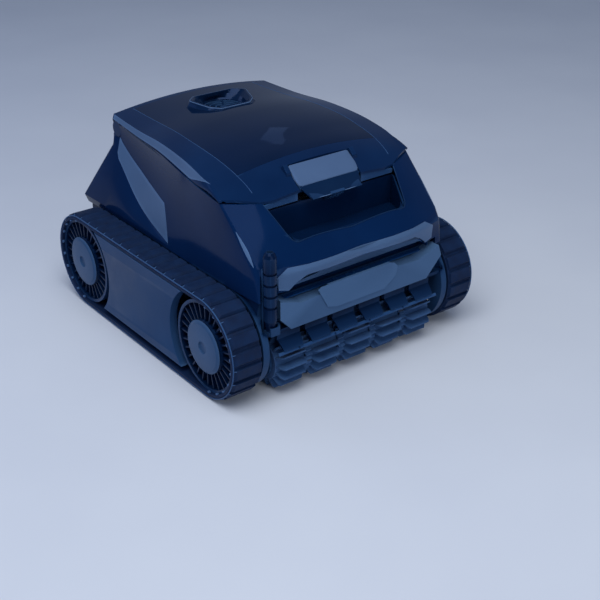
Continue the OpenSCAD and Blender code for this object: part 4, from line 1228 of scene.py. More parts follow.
    def tabs(self) -> None:
        """Makes the tabs that the body is screwed down with."""
        mould = Mould()
        for _, side in SIDES:
            for y in (-40, 208):
                plate = [(121, y - 8), (163, y - 8), (163, y + 8), (121, y + 8)]
                mould.slab([(side * u, v) for u, v in plate], 145.1, 148, upright)
        fit(mould.make("shell_tabs", 0.5), "root", Slot.SHELL)


@dataclass
class Lid:
    """Hinged lid: frame with bevelled sides, smoked window, and light lines and strips that paint highlights.

    Attributes:
        sides: Y and half width of the top face at its rear and front end.
        edge: Y and height of the side edge.
        rise: Y and extra height of the middle.
        bevel: Y and height of the bright bevel along the side.
        roll: Y and reach of the rounding between top and side.
        front: X and Y of the front edge.
        window: Y and half width of the window.
        window_front: Y of the crease in front of the window.
        skirt: Height of the rear skirt's lower edge.
        thick: Thickness of the sheet.
    """

    sides: tuple[Flat, Flat] = ((173, 137), (-140, 161))
    edge: tuple[Flat, ...] = (
        (-214, 188), (-194, 227), (-165, 247), (-143, 262), (-125, 270), (-73, 284), (12, 292),
        (94, 290), (173, 292),
    )
    rise: tuple[Flat, ...] = ((-214, 12), (-165, 15), (-139, 18), (-73, 16), (10, 15), (90, 15), (173, 11))
    bevel: tuple[Flat, ...] = (
        (-214, 1.5), (-139, 2.0), (-113, 7.0), (-90, 13.5), (-66, 17.2), (-47, 17.4), (-6, 14.8), (36, 11.8),
        (80, 9.4), (126, 7.8), (173, 7.0),
    )
    roll: tuple[Flat, ...] = ((-200, 7.0), (-118, 6.0), (-80, 2.5), (-40, 1.4), (20, 1.2), (173, 1.0))
    front: tuple[Flat, ...] = ((0, -167), (95, -167), (115, -163.5), (150, -146.5), (168, -139))
    window: tuple[Flat, ...] = (
        (-150, 118.0), (-119, 119.8), (-79, 120.3), (-46, 121), (-10, 119.8), (77, 112.8), (165, 108.6),
    )
    window_front: float = -119.0
    skirt: float = 260.0
    thick: float = 3.4

    def height(self, x: float, y: float) -> float:
        """Gives the height of the top face at X and Y."""
        u = x / self.half(y)
        return self.along(self.edge, y) + self.along(self.rise, y) * (1 - u * u)

    def half(self, y: float) -> float:
        """Gives the half width of the top face at Y."""
        (rear, narrow), (front, wide) = self.sides
        return narrow + (wide - narrow) * (rear - y) / (rear - front)

    @staticmethod
    @cache
    def curve(table: tuple[Flat, ...]) -> np.ndarray:
        """Draws the smooth curve through a table of places and values."""
        return through(table, [8] * (len(table) - 1))

    def along(self, table: tuple[Flat, ...], y: float) -> float:
        """Reads a table smoothly at Y."""
        return float(np.interp(y, *self.curve(table).T))

    def section(self, y: float, sink: float) -> np.ndarray:
        """Gives half a cross section, from the middle down to the side's lower edge.

        Args:
            y: Where the section is.
            sink: Depth below the outer face.

        Returns:
            The points.
        """
        half = self.half(y)
        roll, bevel, edge = (self.along(table, y) for table in (self.roll, self.bevel, self.edge))
        points = [np.array((x, y, self.height(x, y) - sink)) for x in np.linspace(0, half - roll, 25)]
        start, corner = points[-1], np.array((half + 0.4 - sink, y, edge - sink * 0.5))
        lifts = (1.5, -bevel, -bevel - 1.0)
        shoulder, middle, low = (np.array((half + 3 - sink, y, edge + lift)) for lift in lifts)
        soft = np.clip((-95 - y) / 25, 0, 1)
        for t in np.linspace(0, 1, 9)[1:]:
            sharp = corner + (middle - corner) * np.clip((t - 0.125) / 0.625, 0, 1)
            sharp = sharp + (low - middle) * max(0.0, (t - 0.75) / 0.25)
            points.append(sharp * (1 - soft) + bend(start, shoulder, low, t) * soft)
        return np.array(points)

    def sheet(self) -> Mould:
        """Gives the closed sheet of the lid, from the rear skirt to the front edge and back.

        Returns:
            The sheet.
        """
        rows = [*np.linspace(172.6, 165, 4), *np.linspace(155, -110, 28)]
        rows += [-116, -119, -122, *np.linspace(-127, -168, 12)]
        outer, inner = ([whole(self.section(y, sink)) for y in rows] for sink in (0.0, self.thick))

        def hem(ring: np.ndarray, half: float, back: float) -> np.ndarray:
            """Drops a ring to the skirt's lower edge, no wider than its half width."""
            level = np.full(len(ring), self.skirt)
            return np.stack([np.clip(ring[:, 0], -half, half), ring[:, 1] + back, level], -1)

        rings = [hem(outer[0], 134, 0.4), outer[0] + (0, 0.4, -0.6), *outer]
        rings += [*inner[:1:-1], inner[1] + (0, -1.2, 0), inner[0] + (0, -2.6, 0), hem(inner[0], 132, -2.6)]
        mould = Mould().loft([*rings, rings[0]], closed=False, caps=False)
        for column in (0, -1):
            mould.take([ring[column] for ring in rings], [range(len(rings))])
        return mould

    def outline(self, margin: float) -> list[Flat]:
        """Gives the outline of the outlet's collar, grown by a margin."""
        w = 56 + margin
        return mirrored([(w - 16, 118 + margin), (w, 102), (w - 13, 64), (w - 28, 50 - margin)])

    def cover(self) -> None:
        """Makes and dresses the frame of the lid."""
        cover = self.sheet().make("lid_frame_cover", angle=20)
        right, left = self.front[::-1], [(-x, y) for x, y in self.front[1:]]
        cut(cover, [(-200, -210), (200, -210), (200, -139), *right, *left, (-200, -139)], 150, 340, upright)
        side = [(self.along(self.window, y), y) for y in np.linspace(164, self.window_front, 16)]
        cut(cover, mirrored(side), 150, 340, upright)
        notch = [(-53, -190), (53, -190), (53, -134), (-53, -134)]
        cut(cover, rounded(notch, [0, 0, 2, 2], 3), 200, 340, upright)
        for x in (-111, -84, 71, 98):
            cut(cover, [(x, 167.5), (x + 13, 167.5), (x + 13, 175), (x, 175)], 255, 280.5, upright)
        refine(cover, 24)
        soften(cover, 0.5, 30)
        fit(cover, "lid_body", Slot.LID, "lid_frame")

    def pane(self) -> None:
        """Makes and dresses the smoked window, with the hole for the outlet."""
        rings = []
        for y in np.linspace(163.8, self.window_front + 0.2, 45):
            width = self.along(self.window, y) - 0.15
            top = np.array([(u * width, y, self.height(u * width, y)) for u in np.linspace(-1, 1, 41)])
            rings.append([*top, *(top[::-1] - (0, 0, 2.6))])
        window = Mould().loft(rings).make("lid_window_pane", angle=30)
        cut(window, self.outline(-1.0), 200, 340, upright)
        refine(window, 30)
        fit(window, "lid_body", Slot.WINDOW, "lid_window")

    def trim(self) -> None:
        """Lays the thin light lines that edge the window and the light strips along the bevels, painted
        highlights on those edges and facets.
        """
        points = [(self.along(self.window, y), y) for y in np.linspace(164, -150, 30)]
        steps = [max(2, int(math.dist(a, b) / 8)) for a, b in zip(points, points[1:])]
        track = through(points, steps, range(1, len(points) - 1))
        rows = []
        for y in np.linspace(170, -112, 48):
            facet = self.section(y, 0.0)[25:31]
            end = np.interp(y, (-112, -67), (0.06, 0.97))
            rows.append(read(facet, np.linspace(0.03, end, 5) * (len(facet) - 1)))
        for name, side in SIDES:
            mould = Mould().bar([(side * x, y, self.height(x, y) - 0.15) for x, y in track], 0.45)
            # light line paints the highlight along the window's edge
            fit(mould.make(f"window_edge_painted_highlight_{name}", angle=60), "lid_body", Slot.SIDE_PLATE, finish=HIGHLIGHT_AND_PALE_TRIM)
            strip = Mould().veneer(np.array(rows) * (side, 1, 1), (side, 0, 0.4))
            # light strip paints the highlight on the lid's bevel facet
            fit(strip.make(f"bevel_painted_highlight_{name}", angle=40), "lid_body", Slot.SIDE_PLATE, finish=PAINTED_HIGHLIGHT)

    def knuckles(self) -> None:
        """Makes the hinge knuckles, the cheeks beside them and the ears of the latch pin."""
        mould = Mould()
        shapes = (
            ([*arc(HINGE, 6, math.pi, math.tau, 13), (168, 291), (156, 292)], 84, 98),
            (circle(HINGE, 12, 48), 136.9, 140.2),
            ([(-149, 270), (-136, 270), (-136, 284), (-140, 287), (-149, 278)], 53.2, 60.5),
        )
        for _, side in SIDES:
            for outline, low, high in shapes:
                mould.slab(outline, side * low, side * high, facing_side)
        fit(mould.make("lid_knuckles", 0.5), "lid_body", Slot.LID)

    def build(self) -> None:
        """Makes and dresses the lid."""
        self.cover()
        self.pane()
        self.trim()
        self.knuckles()


@dataclass
class Outlet:
    """Raised collar of the water outlet on the lid.

    Attributes:
        lid: The lid that it stands on.
        sides: Points around each ring of the collar.
        throat: Radius of the throat.
        low: Height of the crest at its front.
        rise: How much higher the crest is at its rear.
    """

    lid: Lid
    sides: int = 96
    throat: float = 31.0
    low: float = 308.5
    rise: float = 4.4

    def ring(self, outline: Sequence[Flat], radius: float, z: float | Height) -> list[Point]:
        """Samples a rounded outline by angle round the throat.

        Args:
            outline: Corners of the outline, or nothing for a circle.
            radius: Rounding of the corners, or the radius of the circle.
            z: Height of the ring, or a function of X and Y.

        Returns:
            The ring.
        """
        spots = circle(THROAT, radius, self.sides)
        if outline:
            shape = rounded(outline, radius, 6)
            spots = [self.cross(shape, math.tau * k / self.sides) for k in range(self.sides)]
        return [(x, y, z(x, y) if callable(z) else z) for x, y in spots]

    def cross(self, shape: Sequence[Flat], angle: float) -> Flat:
        """Finds where a ray from the middle of the throat leaves an outline.

        Args:
            shape: The outline.
            angle: Direction of the ray.

        Returns:
            The point on the outline.
        """
        dx, dy = math.cos(angle), math.sin(angle)
        best = 0.0
        for (x0, y0), (x1, y1) in zip(shape, [*shape[1:], shape[0]]):
            ex, ey, px, py = x1 - x0, y1 - y0, x0 - THROAT[0], y0 - THROAT[1]
            turn = dx * ey - dy * ex
            if abs(turn) > 1e-9 and -1e-6 <= (px * dy - py * dx) / turn <= 1 + 1e-6:
                best = max(best, (px * ey - py * ex) / turn)
        return (THROAT[0] + best * dx, THROAT[1] + best * dy)

    def foot(self, rise: float) -> Height:
        """Gives the heights that stand a rise above the face of the lid."""
        return lambda x, y: self.lid.height(x, y) + rise

    def crest(self, drop: float) -> Height:
        """Gives the heights of the crest, which falls towards its front, less a drop."""
        return lambda x, y: self.low + self.rise * min(1.0, max(0.0, (y - 52) / 50)) - drop

    def build(self) -> None:
        """Makes and dresses the collar and the light bead on its crest, which paints the crest's highlight.
        """
        wide = self.lid.outline(-0.5)
        slim, lip, neck = grown(wide, 0.93), grown(wide, 0.84, 0.86), grown(wide, 0.7, 0.86)
        crown = grown(slim, 0.975)
        rings = [
            self.ring(wide, 5, self.foot(-1.5)),
            self.ring(wide, 5, self.foot(0.7)),
            self.ring(slim, 6, self.crest(1.6)),
            self.ring(crown, 6, self.crest(0.2)),
            self.ring(lip, 7, self.crest(0.0)),
            self.ring(grown(lip, 0.98), 8, self.crest(0.8)),
            self.ring(neck, 9, self.crest(5.5)),
            self.ring([], self.throat + 2.0, 301.5),
            self.ring([], self.throat, 299.0),
            self.ring([], self.throat, 290.2),
            self.ring([], self.throat + 2.5, 290.2),
            self.ring([], self.throat + 2.5, 294.0),
        ]
        collar = Mould().loft([*rings, rings[0]], caps=False).make("outlet_collar", 0.35, 30)
        fit(collar, "lid_body", Slot.BEZEL, "outlet_bezel")
        bead = Mould().bar(self.ring(crown, 6, self.crest(0.9)), 0.75, closed=True)
        # light finish paints the highlight along the collar's crest
        fit(bead.make("outlet_crest_bead", angle=60), "lid_body", Slot.BEZEL, finish=PAINTED_HIGHLIGHT)


@dataclass
class Latch:
    """Light cap of the latch, domed and with rounded corners, and the dark face below it.

    Attributes:
        half: Half width of the cap.
        rear: Y and height of the rear edge.
        front: Y and height of the front edge.
        dome: How far the middle stands proud.
        thick: Thickness at the rim.
    """

    half: float = 51.0
    rear: Flat = (-139.2, 284.4)
    front: Flat = (-165.4, 262.6)
    dome: float = 1.5
    thick: float = 3.4

    def build(self) -> None:
        """Makes and dresses the cap from closed loops, from its underside to the top of its dome."""
        rear = Vector((0, *self.rear))
        slope = Vector((0, *self.front)) - rear
        up = slope.cross(Vector((1, 0, 0))).normalized()
        half, span, wide = self.half, slope.length, self.half + 1.6
        waist = span * 0.6
        corners = [(-half, 0), (half, 0), (wide, waist), (half, span), (-half, span), (-wide, waist)]
        plate = rounded(corners, [4, 4, 30, 7, 7, 30], 6)
        rim = [(0.6, -self.thick), (0.0, -self.thick + 0.7), (0.0, -0.7), (0.35, -0.1)]
        steps = [(shrink, height, 1.0) for shrink, height in rim]
        shares = (1.0, 0.9, 0.75, 0.55, 0.3, 0.08)
        steps += [(1.0, 0.25 + self.dome * (1 - share**2), share) for share in shares]
        loops = []
        for shrink, height, share in steps:
            loop = []
            for u, v in plate:
                across = u * (1 - shrink / half) * share
                down = span / 2 + (v - span / 2) * (1 - 2 * shrink / span) * share
                loop.append(Vector((across, 0, 0)) + rear + slope * (down / span) + up * height)
            loops.append(loop)
        cap = Mould().loft(loops).make("latch_cap", angle=40)
        fit(cap, "latch_body", Slot.LATCH_CAP, "latch_pad")
        self.face()

    def face(self) -> None:
        """Adds the dark face that rolls down in front of the cap, and the thin lip that ends it."""
        (start, top), run, drop, wide, taper = (-164.6, 262.4), 17.4, 14.2, 50.4, 8.4
        rings = []
        for t in np.linspace(0, 1, 9):
            half = wide - taper * t**1.3
            y, z = start - run * t**1.25, top - drop * t
            swells = ((-half, 0.0), (-half / 2, 0.7), (0.0, 0.9), (half / 2, 0.7), (half, 0.0))
            front = [(x, y - swell, z) for x, swell in swells]
            rings.append([*front, (half, y + 2.2, z - 1.6), (-half, y + 2.2, z - 1.6)])
        fit(Mould().loft(rings).make("latch_face", 0.4, 40), "latch_body", Slot.LATCH)
        lip = np.array(rings[-1][:5]) + (0, 0.3, -0.2)
        fit(Mould().bar(lip, 0.55).make("latch_lip", angle=60), "latch_body", Slot.LATCH_CAP)


@dataclass
class Track:
    """Rubber track with wide pads, slanted at their outer ends, and small inner cleats.

    Attributes:
        name: "left" or "right".
        side: -1 for the left track and 1 for the right one.
        inner: X of the inner edge of the belt.
        outer: X of the outer edge.
        radius: Radius over the pads.
        belt: Radius of the belt's outer face.
        lining: Radius of the belt's inner face.
        turn_pads: Pads round one full circle.
        run_pads: Pads along one straight run.
    """

    name: str
    side: int
    inner: float = 169.0
    outer: float = 215.0
    radius: float = 74.95
    belt: float = 71.0
    lining: float = 66.0
    turn_pads: int = 20
    run_pads: int = 14

    def __post_init__(self) -> None:
        """Works out the pitch and number of the pads, and the lengths of a run and of a turn."""
        self.run = 2 * AXLE[0]
        self.step = self.run / self.run_pads
        self.turn = self.turn_pads / 2 * self.step
        self.count = self.run_pads * 2 + self.turn_pads

    def spot(self, x: float, along: float, out: float) -> Point:
        """Gives a point on the loop, whose second half is the first one turned upside down.

        Args:
            x: Distance from the middle of the machine.
            along: Distance along the loop, from the rear end of the top run to the front.
            out: Distance from the middle line of the wheels.

        Returns:
            The point.
        """
        half, s = divmod(along % (2 * (self.run + self.turn)), self.run + self.turn)
        flip = 1 if half < 1 else -1
        y, z = AXLE[0] - s, out
        if s >= self.run:
            a = math.pi / 2 + (s - self.run) / self.turn * math.pi
            y, z = -AXLE[0] + out * math.cos(a), out * math.sin(a)
        return (self.side * x, flip * y, AXLE[1] + flip * z)

    def across(self, mould: Mould, middle: float, profile: Line) -> None:
        """Adds a bar that lies across the belt.

        Args:
            mould: The mould to add to.
            middle: Distance of its middle along the loop.
            profile: Distance from the middle, distance out and the X of both ends for each edge.
        """
        ends = [[self.spot(edge[end], middle + edge[0], edge[1]) for edge in profile] for end in (2, 3)]
        mould.loft(ends)

    def build(self) -> None:
        """Makes and dresses the belt with its pads."""
        section = [
            (self.inner, self.lining + 0.4), (self.inner, self.belt - 0.8), (self.inner + 0.8, self.belt),
            (self.outer - 1.6, self.belt), (self.outer - 0.6, self.belt - 0.5), (self.outer, self.belt - 1.4),
            (self.outer, self.lining + 0.6), (self.outer - 0.8, self.lining), (self.inner + 0.6, self.lining),
        ]
        samples = 4
        rings = [
            [self.spot(x, self.step * k / samples, out) for x, out in section]
            for k in range(self.count * samples)
        ]
        mould = Mould().loft([*rings, rings[0]], caps=False)
        base, low, high = 0.41 * self.step, self.belt - 0.7, self.radius - 0.1
        edges = (
            (-base, low, 0.0), (-base + 0.7, high, 1.0), (base - 3.4, high, 1.0),
            (base - 0.2, self.belt + 0.6, 0.35), (base, low, 0.0),
        )
        inner, outer, slant_in, slant_out = self.inner + 0.6, self.outer - 0.4, 1.2, 5.6
        pad = [(at, out, inner + slant_in * rise, outer - slant_out * rise) for at, out, rise in edges]
        for k in range(self.count):
            self.across(mould, (k + 0.5) * self.step, pad)
        belt = mould.make(f"track_{self.name}_belt", 0.35, 28)
        fit(belt, "root", Slot.TRACK, f"track_{self.name}")
        self.rim()

    def rim(self) -> None:
        """Adds the thin rim along the belt's outer edge and the ticks on the pads, whose paler finish paints
        the highlights on those edges, and the inner cleats in the same finish.
        """
        samples = 240
        loop = np.arange(samples) * self.count * self.step / samples
        edge = [self.spot(self.outer - 0.95, s, self.belt + 0.9) for s in loop]
        mould = Mould().bar(edge, 0.9, closed=True)
        for k in range(self.count):
            ends = ((self.outer - 1.6, self.belt + 1.2), (self.outer - 6.6, self.radius - 0.8))
            mould.bar([self.spot(x, (k + 0.16) * self.step, out) for x, out in ends], 0.5, 6)
        foot, crown = self.lining + 0.6, self.lining - 2.2
        ends = (self.outer - 3.5, self.outer - 0.7)
        cleat = [(-2.6, foot, *ends), (-1.8, crown, *ends), (1.8, crown, *ends), (2.6, foot, *ends)]
        for start in (self.run, 2 * self.run + self.turn):
            for k in range(self.turn_pads // 2):
                self.across(mould, start + (k + 0.5) * self.step, cleat)
        # paler finish paints the highlights along the belt's edge and the pad corners
        fit(mould.make(f"track_{self.name}_rim", angle=50), "root", Slot.TRACK, finish=HIGHLIGHT_AND_PALE_TRIM)


@dataclass
class Guard:
    """Flat satin plate between the two wheels of a track.

    Attributes:
        name: "left" or "right".
        side: -1 for the left guard and 1 for the right one.
        inner: X of the inner face.
        outer: X of the outer face.
        low: Height of the lower edge.
        high: Height of the upper edge.
        bay: Radius of the round bay at each wheel.
    """

    name: str
    side: int
    inner: float = 203.0
    outer: float = 214.7
    low: float = 18.6
    high: float = 139.8
    bay: float = 79.7

    def build(self) -> None:
        """Makes and dresses the plate with its eased edge and the two posts behind it."""
        y0, z0 = AXLE
        start, end = (math.asin((z - z0) / self.bay) for z in (self.low, self.high))
        front = arc((-y0, z0), self.bay, start, end, 40)
        outline = front + [(-y, z) for y, z in front[::-1]]
        loops = []
        steps = ((self.inner, 0.0), (self.outer - 1.0, 0.0), (self.outer - 0.25, 0.3), (self.outer, 1.1))
        for x, draw in steps:
            shares = [1 - draw / math.hypot(y, z - z0) for y, z in outline]
            loops.append([(self.side * x, y * s, z0 + (z - z0) * s) for (y, z), s in zip(outline, shares)])
        mould = Mould().loft(loops)
        for y in (-60, 60):
            mould.slab(circle((y, z0), 9, 32), self.side * 160.1, self.side * (self.inner + 0.5), facing_side)
        plate = mould.make(f"guard_plate_{self.name}", angle=30)
        fit(plate, "root", Slot.GUARD, f"track_guard_{self.name}")


@dataclass
class Brush:
    """Paddle brush: five soft sleeves with bevelled paddles and folded webs.

    Attributes:
        core: Radius of the core.
        root: Radius at the foot of the paddles.
        tip: Radius over the tips.
        paddles: Paddles round each sleeve.
        columns: Sleeves along the brush.
        length: Length of all sleeves.
    """

    core: float = 22.0
    root: float = 29.0
    tip: float = 43.8
    paddles: int = 16
    columns: int = 5
    length: float = 286.0

    def __post_init__(self) -> None:
        """Works out the angle between two paddles and the distance between two sleeves."""
        self.step = math.tau / self.paddles
        self.pitch = self.length / self.columns

    def spot(self, radius: float, angle: float, x: float) -> Point:
        """Gives a point at a radius and angle round the axis."""
        y, z = BRUSH_AXIS
        return (x, y + radius * math.cos(angle), z + radius * math.sin(angle))

    def fin(self, mould: Mould, x: float, angle: float) -> None:
        """Adds one paddle.

        Args:
            mould: The mould to add to.
            x: Middle of its sleeve.
            angle: Direction of the paddle.
        """
        foot, shoulder, crown, thick = 23.0, 20.5, 18.0, 1.2
        profile = (
            (self.root - 4, foot, 1.5), (self.root + 1, foot, 1.15), (self.tip - 4, shoulder, 1.0),
            (self.tip - 0.6, crown, 0.95), (self.tip, crown - 0.6, 0.6),
        )
        sides = ((-1, -1), (1, -1), (1, 1), (-1, 1))
        mould.loft([
            [self.spot(radius, angle + s * thick * share / radius, x + h * half) for h, s in sides]
            for radius, half, share in profile
        ])

    def web(self, mould: Mould, x: float, angle: float) -> None:
        """Adds the folded web from a paddle to the next sleeve's paddle.

        Args:
            mould: The mould to add to.
            x: Middle between two sleeves.
            angle: Direction of the web.
        """
        half, thick = 5.2, 3.0
        folds = ((-1.0, self.root + 2), (0.0, self.root + 6.5), (1.0, self.root + 2))
        corners = ((thick, -half), (0.0, -half), (0.0, half), (thick, half))
        mould.loft([
            [self.spot(radius - sink, angle + share * self.step * 0.25, x + h) for sink, h in corners]
            for share, radius in folds
        ])

    def build(self) -> None:
        """Makes and dresses the sleeves with their paddles and webs, and the light tips."""
        y, z = BRUSH_AXIS
        bore, face = self.core + 0.05, self.root - 0.6
        half = [(bore, -24.6), (face, -24.6), (self.root, -24.0)]
        tube = half + [(radius, -at) for radius, at in half[::-1]]
        mould, tips = Mould(), Mould()
        for column in range(self.columns):
            x = (column - (self.columns - 1) / 2) * self.pitch
            mould.turned(tube, 64, lambda u, v, h, x=x: (x + h, y + u, z + v))
            for k in range(self.paddles):
                angle = (k + (column % 2) / 2) * self.step
                self.fin(mould, x, angle)
                tips.bar([self.spot(self.tip - 0.55, angle, x + h) for h in (-17.4, 0.0, 17.4)], 0.5, 6)
            if column < self.columns - 1:
                for k in range(self.paddles * 2):
                    self.web(mould, x + self.pitch / 2, (k + 0.5) * self.step / 2)
        fit(mould.make("brush_paddles", 0.3, 40), "brush_body", Slot.BRUSH, "brush_sleeves")
        fit(tips.make("brush_tip_beads", angle=60), "brush_body", Slot.BRUSH, finish=TIPS)


@dataclass
class Hood:
    """Light ribs of the hood over the brush, and the rail that ends them.

    Attributes:
        count: How many ribs stand side by side.
        pitch: Distance between them.
        half: Half width of one rib.
        holes: X of the small holes in the rail.
    """

    count: int = 6
    pitch: float = 47.0
    half: float = 18.5
    holes: tuple[float, ...] = (-108, -46.5, 15, 77)

    def spot(self, x: float, radius: float, degrees: float) -> Point:
        """Gives a point at a radius and angle round the brush."""
        a = math.radians(degrees)
        return (x, BRUSH_AXIS[0] + radius * math.cos(a), BRUSH_AXIS[1] + radius * math.sin(a))

    def build(self) -> None:
        """Makes and dresses the ribs."""
        under, edge, top = 47.9, 49.4, 51.5
        mould = Mould()
        for k in range(self.count):
            x = (k - (self.count - 1) / 2) * self.pitch
            rings = []
            for degrees in np.linspace(102, 146, 12):
                wide = self.half * (1 - 0.10 * max(0.0, (degrees - 125) / 17))
                slim = wide - 1.2
                face = ((-wide, edge), (-slim, under), (slim, under), (wide, edge))
                outline = (*face, (wide, top), (-wide, top))
                rings.append([self.spot(x + u, radius, degrees) for u, radius in outline])
            mould.loft(rings)
        fit(mould.make("hood_ribs", 0.4), "root", Slot.SIDE_PLATE)
        self.rail()

    def rail(self) -> None:
        """Makes the light rail that ends the ribs above the brush, with dark plugs in its small holes that
        paint the shade inside them.
        """
        outline = ((47.4, 145.4), (47.4, 150.4), (48.6, 150.6), (49.2, 149.8), (49.2, 146.0), (48.6, 145.2))
        rings = [[self.spot(x, *corner) for corner in outline] for x in np.linspace(-142, 142, 9)]
        fit(Mould().loft(rings).make("hood_rail", 0.3), "root", Slot.SIDE_PLATE, finish=HIGHLIGHT_AND_PALE_TRIM)
        out = Vector((0, math.cos(math.radians(148)), math.sin(math.radians(148))))
        along = Vector((0, -out.z, out.y))
        mould = Mould()
        for x in self.holes:
            middle = Vector((x, *BRUSH_AXIS)) + out * 49.0
            rim = [middle + Vector((u, 0, 0)) + along * v for u, v in circle((0.0, 0.0), 1.6, 20)]
            mould.loft([[spot + out * lift for spot in rim] for lift in (-0.6, 0.35)])
        # dark plugs paint the shade inside the rail's holes
        fit(mould.make("hood_rail_holes", angle=40), "root", Slot.TRAY)


@dataclass
class Inside:
    """Every CAD node that keeps its shape and only gets a finish, and the hub discs.

    Attributes:
        plain: The nodes of each slot.
        disc: Radius and X of each point of a hub disc's profile.
    """

    plain: dict[Slot, tuple[str, ...]] = field(
        default_factory=lambda: {
            Slot.CHASSIS: ("chassis",),
            Slot.SIDE_PLATE: ("side_frame_left", "side_frame_right", "cable_socket"),
            Slot.BUMPER: ("front_bumper",),
            Slot.HATCH: ("bumper_hatch",),
            Slot.TRAY: ("latch_tray",),
            Slot.STEEL: (
                "wheel_axles", "frame_screws", "lid_pins", "drive_pinion_left", "drive_pinion_right",
                "impeller_shaft",
            ),
            Slot.BUSH: ("brush_bearings", "brush_gear"),
            Slot.HOUSING: (
                "motor_housing", "motor_cover", "outlet_duct", "filter_frame", "inlet_throat",
                "hinge_brackets", "impeller", "outlet_grille",
            ),
            Slot.SEAL: ("motor_seal", "lid_seal", "inlet_flap"),
            Slot.MOTOR: ("pump_motor", "traction_motor_left", "traction_motor_right"),
            Slot.BOARD: ("control_board",),
            Slot.MESH: ("filter_mesh",),
            Slot.GLAND: ("cable_relief",),
            Slot.CORE: ("brush_core",),
            Slot.LATCH: ("latch_lever",),
            Slot.HUB_CAP: ("filter_handle",),
        }
    )
    disc: tuple[Flat, ...] = (
        (0.0, 212.3), (7.4, 212.3), (8.4, 213.0), (8.9, 214.8), (32.6, 214.9), (34.0, 214.6), (37.6, 212.8),
        (38.0, 212.2), (37.0, 211.4), (0.0, 211.4),
    )

    def build(self) -> None:
        """Dresses the nodes, and makes the light disc with its bevelled rim in each wheel."""
        for slot, nodes in self.plain.items():
            for node in nodes:
                keep(node, slot)
        for name, side in SIDES:
            for end, y0 in (("front", -AXLE[0]), ("rear", AXLE[0])):
                corner = f"{end}_{name}"
                keep(f"wheel_{corner}", Slot.WHEEL)
                keep(f"wheel_bush_{corner}", Slot.BUSH)
                mould = Mould().turned(self.disc, 72, lambda u, v, h: (side * h, y0 + u, AXLE[1] + v))
                disc = mould.make(f"hub_disc_{corner}", angle=40)
                fit(disc, f"wheel_{corner}_body", Slot.HUB_CAP, f"hub_cap_{corner}")


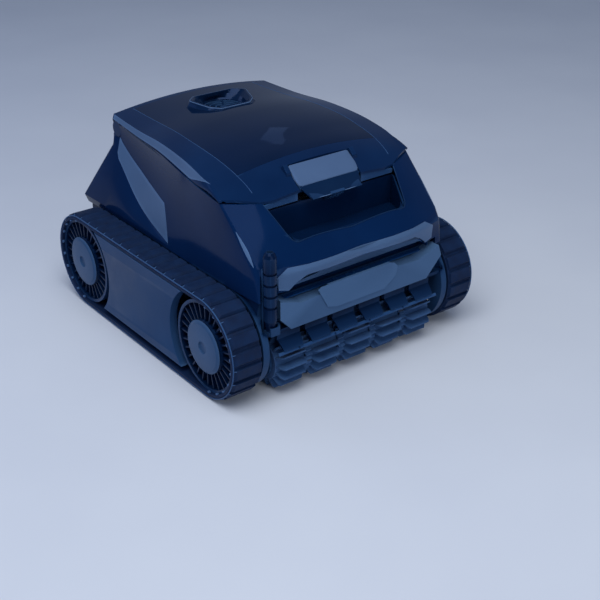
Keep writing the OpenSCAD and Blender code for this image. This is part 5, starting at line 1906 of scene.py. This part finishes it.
@dataclass
class Studio:
    """Pale floor, soft lights and the camera, in metres.

    Attributes:
        azimuth: Where the camera stands round the machine, in degrees.
        elevation: How far above the horizon it stands, in degrees.
        distance: From the camera to the point it looks at.
        target: The point in the middle of the view.
        lens: Focal length of the camera in millimetres on a 36 mm sensor.
        aim: The point that the lamps shine at.
    """

    azimuth: float = -37.80
    elevation: float = 27.81
    distance: float = 1.4932
    target: Point = (-0.0819, -0.2049, 0.12)
    lens: float = 66.85
    aim: Point = (0.0, 0.0, 0.12)

    def camera(self) -> None:
        """Puts the camera at the viewing angle."""
        a, e = math.radians(self.azimuth), math.radians(self.elevation)
        back = Vector((math.sin(a) * math.cos(e), -math.cos(a) * math.cos(e), math.sin(e)))
        lens = bpy.data.cameras.new("camera")
        lens.lens, lens.sensor_width, lens.clip_start = self.lens, 36.0, 0.01
        camera = bpy.data.objects.new("camera", lens)
        camera.location = Vector(self.target) + self.distance * back
        camera.rotation_euler = back.to_track_quat("Z", "Y").to_euler()
        bpy.context.scene.collection.objects.link(camera)
        bpy.context.scene.camera = camera

    def floor(self) -> None:
        """Lays the pale floor."""
        reach, squares = 6.0, 12
        spread = np.linspace(-reach, reach, squares + 1) / MM
        net = [[(x, y, 0) for x in spread] for y in spread]
        floor = Mould().loft(net, closed=False, caps=False).make("studio_floor")
        g = Graph(bpy.data.materials.new("studio_floor_pale"))
        shade = g.ramp(g.noise(3.0, 3.0), (0.3, "cdd4e0"), (0.7, "d2d9e4"))
        floor.data.materials.append(g.surface(Base_Color=shade, Roughness=0.6, Specular_IOR_Level=0.2))

    def lamp(self, name: str, place: Point, size: Flat, watts: float, colour: str = "ffffff") -> None:
        """Hangs one soft box that shines at the machine.

        Args:
            name: Name of the lamp.
            place: Where it hangs.
            size: Its width and height.
            watts: Its power.
            colour: Display colour of its light.
        """
        data = bpy.data.lights.new(name, "AREA")
        data.shape, data.size, data.size_y, data.energy = "RECTANGLE", size[0], size[1], watts
        data.color = linear(colour)[:3]
        lamp = bpy.data.objects.new(name, data)
        lamp.location = place
        lamp.rotation_euler = (Vector(place) - Vector(self.aim)).to_track_quat("Z", "Y").to_euler()
        bpy.context.scene.collection.objects.link(lamp)

    def air(self) -> None:
        """Sets the pale surroundings, which are seen brighter than they shine."""
        g = Graph(bpy.data.worlds.new("studio_air"))
        seen = g.add("Background", Color=linear("d8e0ec"), Strength=1.0)
        felt = g.add("Background", Color=linear("bccef0"), Strength=0.3)
        pick = g.add("MixShader", Fac=g.add("LightPath").outputs["Is Camera Ray"])
        for source, socket in ((felt, pick.inputs[1]), (seen, pick.inputs[2])):
            g.tree.links.new(source.outputs["Background"], socket)
        g.add("OutputWorld", Surface=pick.outputs["Shader"])
        bpy.context.scene.world = g.owner
        bpy.context.scene.view_settings.view_transform = "Standard"

    def build(self) -> None:
        """Sets up camera, floor, lamps and surroundings."""
        self.camera()
        self.floor()
        self.lamp("key_softbox", (-0.7, -0.7, 2.2), (2.0, 1.6), 40)
        self.lamp("front_softbox", (-0.2, -2.4, 1.1), (1.8, 0.8), 10)
        self.lamp("side_softbox", (-2.3, 0.5, 1.1), (1.6, 0.8), 4, "a9c6ff")
        self.lamp("rear_softbox", (-1.3, 1.9, 1.5), (1.4, 0.8), 4, "a9c6ff")
        self.lamp("window_strip", (1.17, 1.32, 1.53), (0.14, 0.36), 0.07, "8fb4f4")
        self.air()


def main() -> None:
    """Builds the scene piece by piece."""
    logging.basicConfig(level=logging.INFO, format="%(name)s: %(message)s")
    lid = Lid()
    parts = [Studio(), Inside(), Shell(), lid, Outlet(lid), Latch()]
    for name, side in SIDES:
        parts += [Track(name, side), Guard(name, side)]
    for part in [*parts, Brush(), Hood()]:
        part.build()
        LOG.info("%s is built", type(part).__name__)


if __name__ == "__main__":
    main()
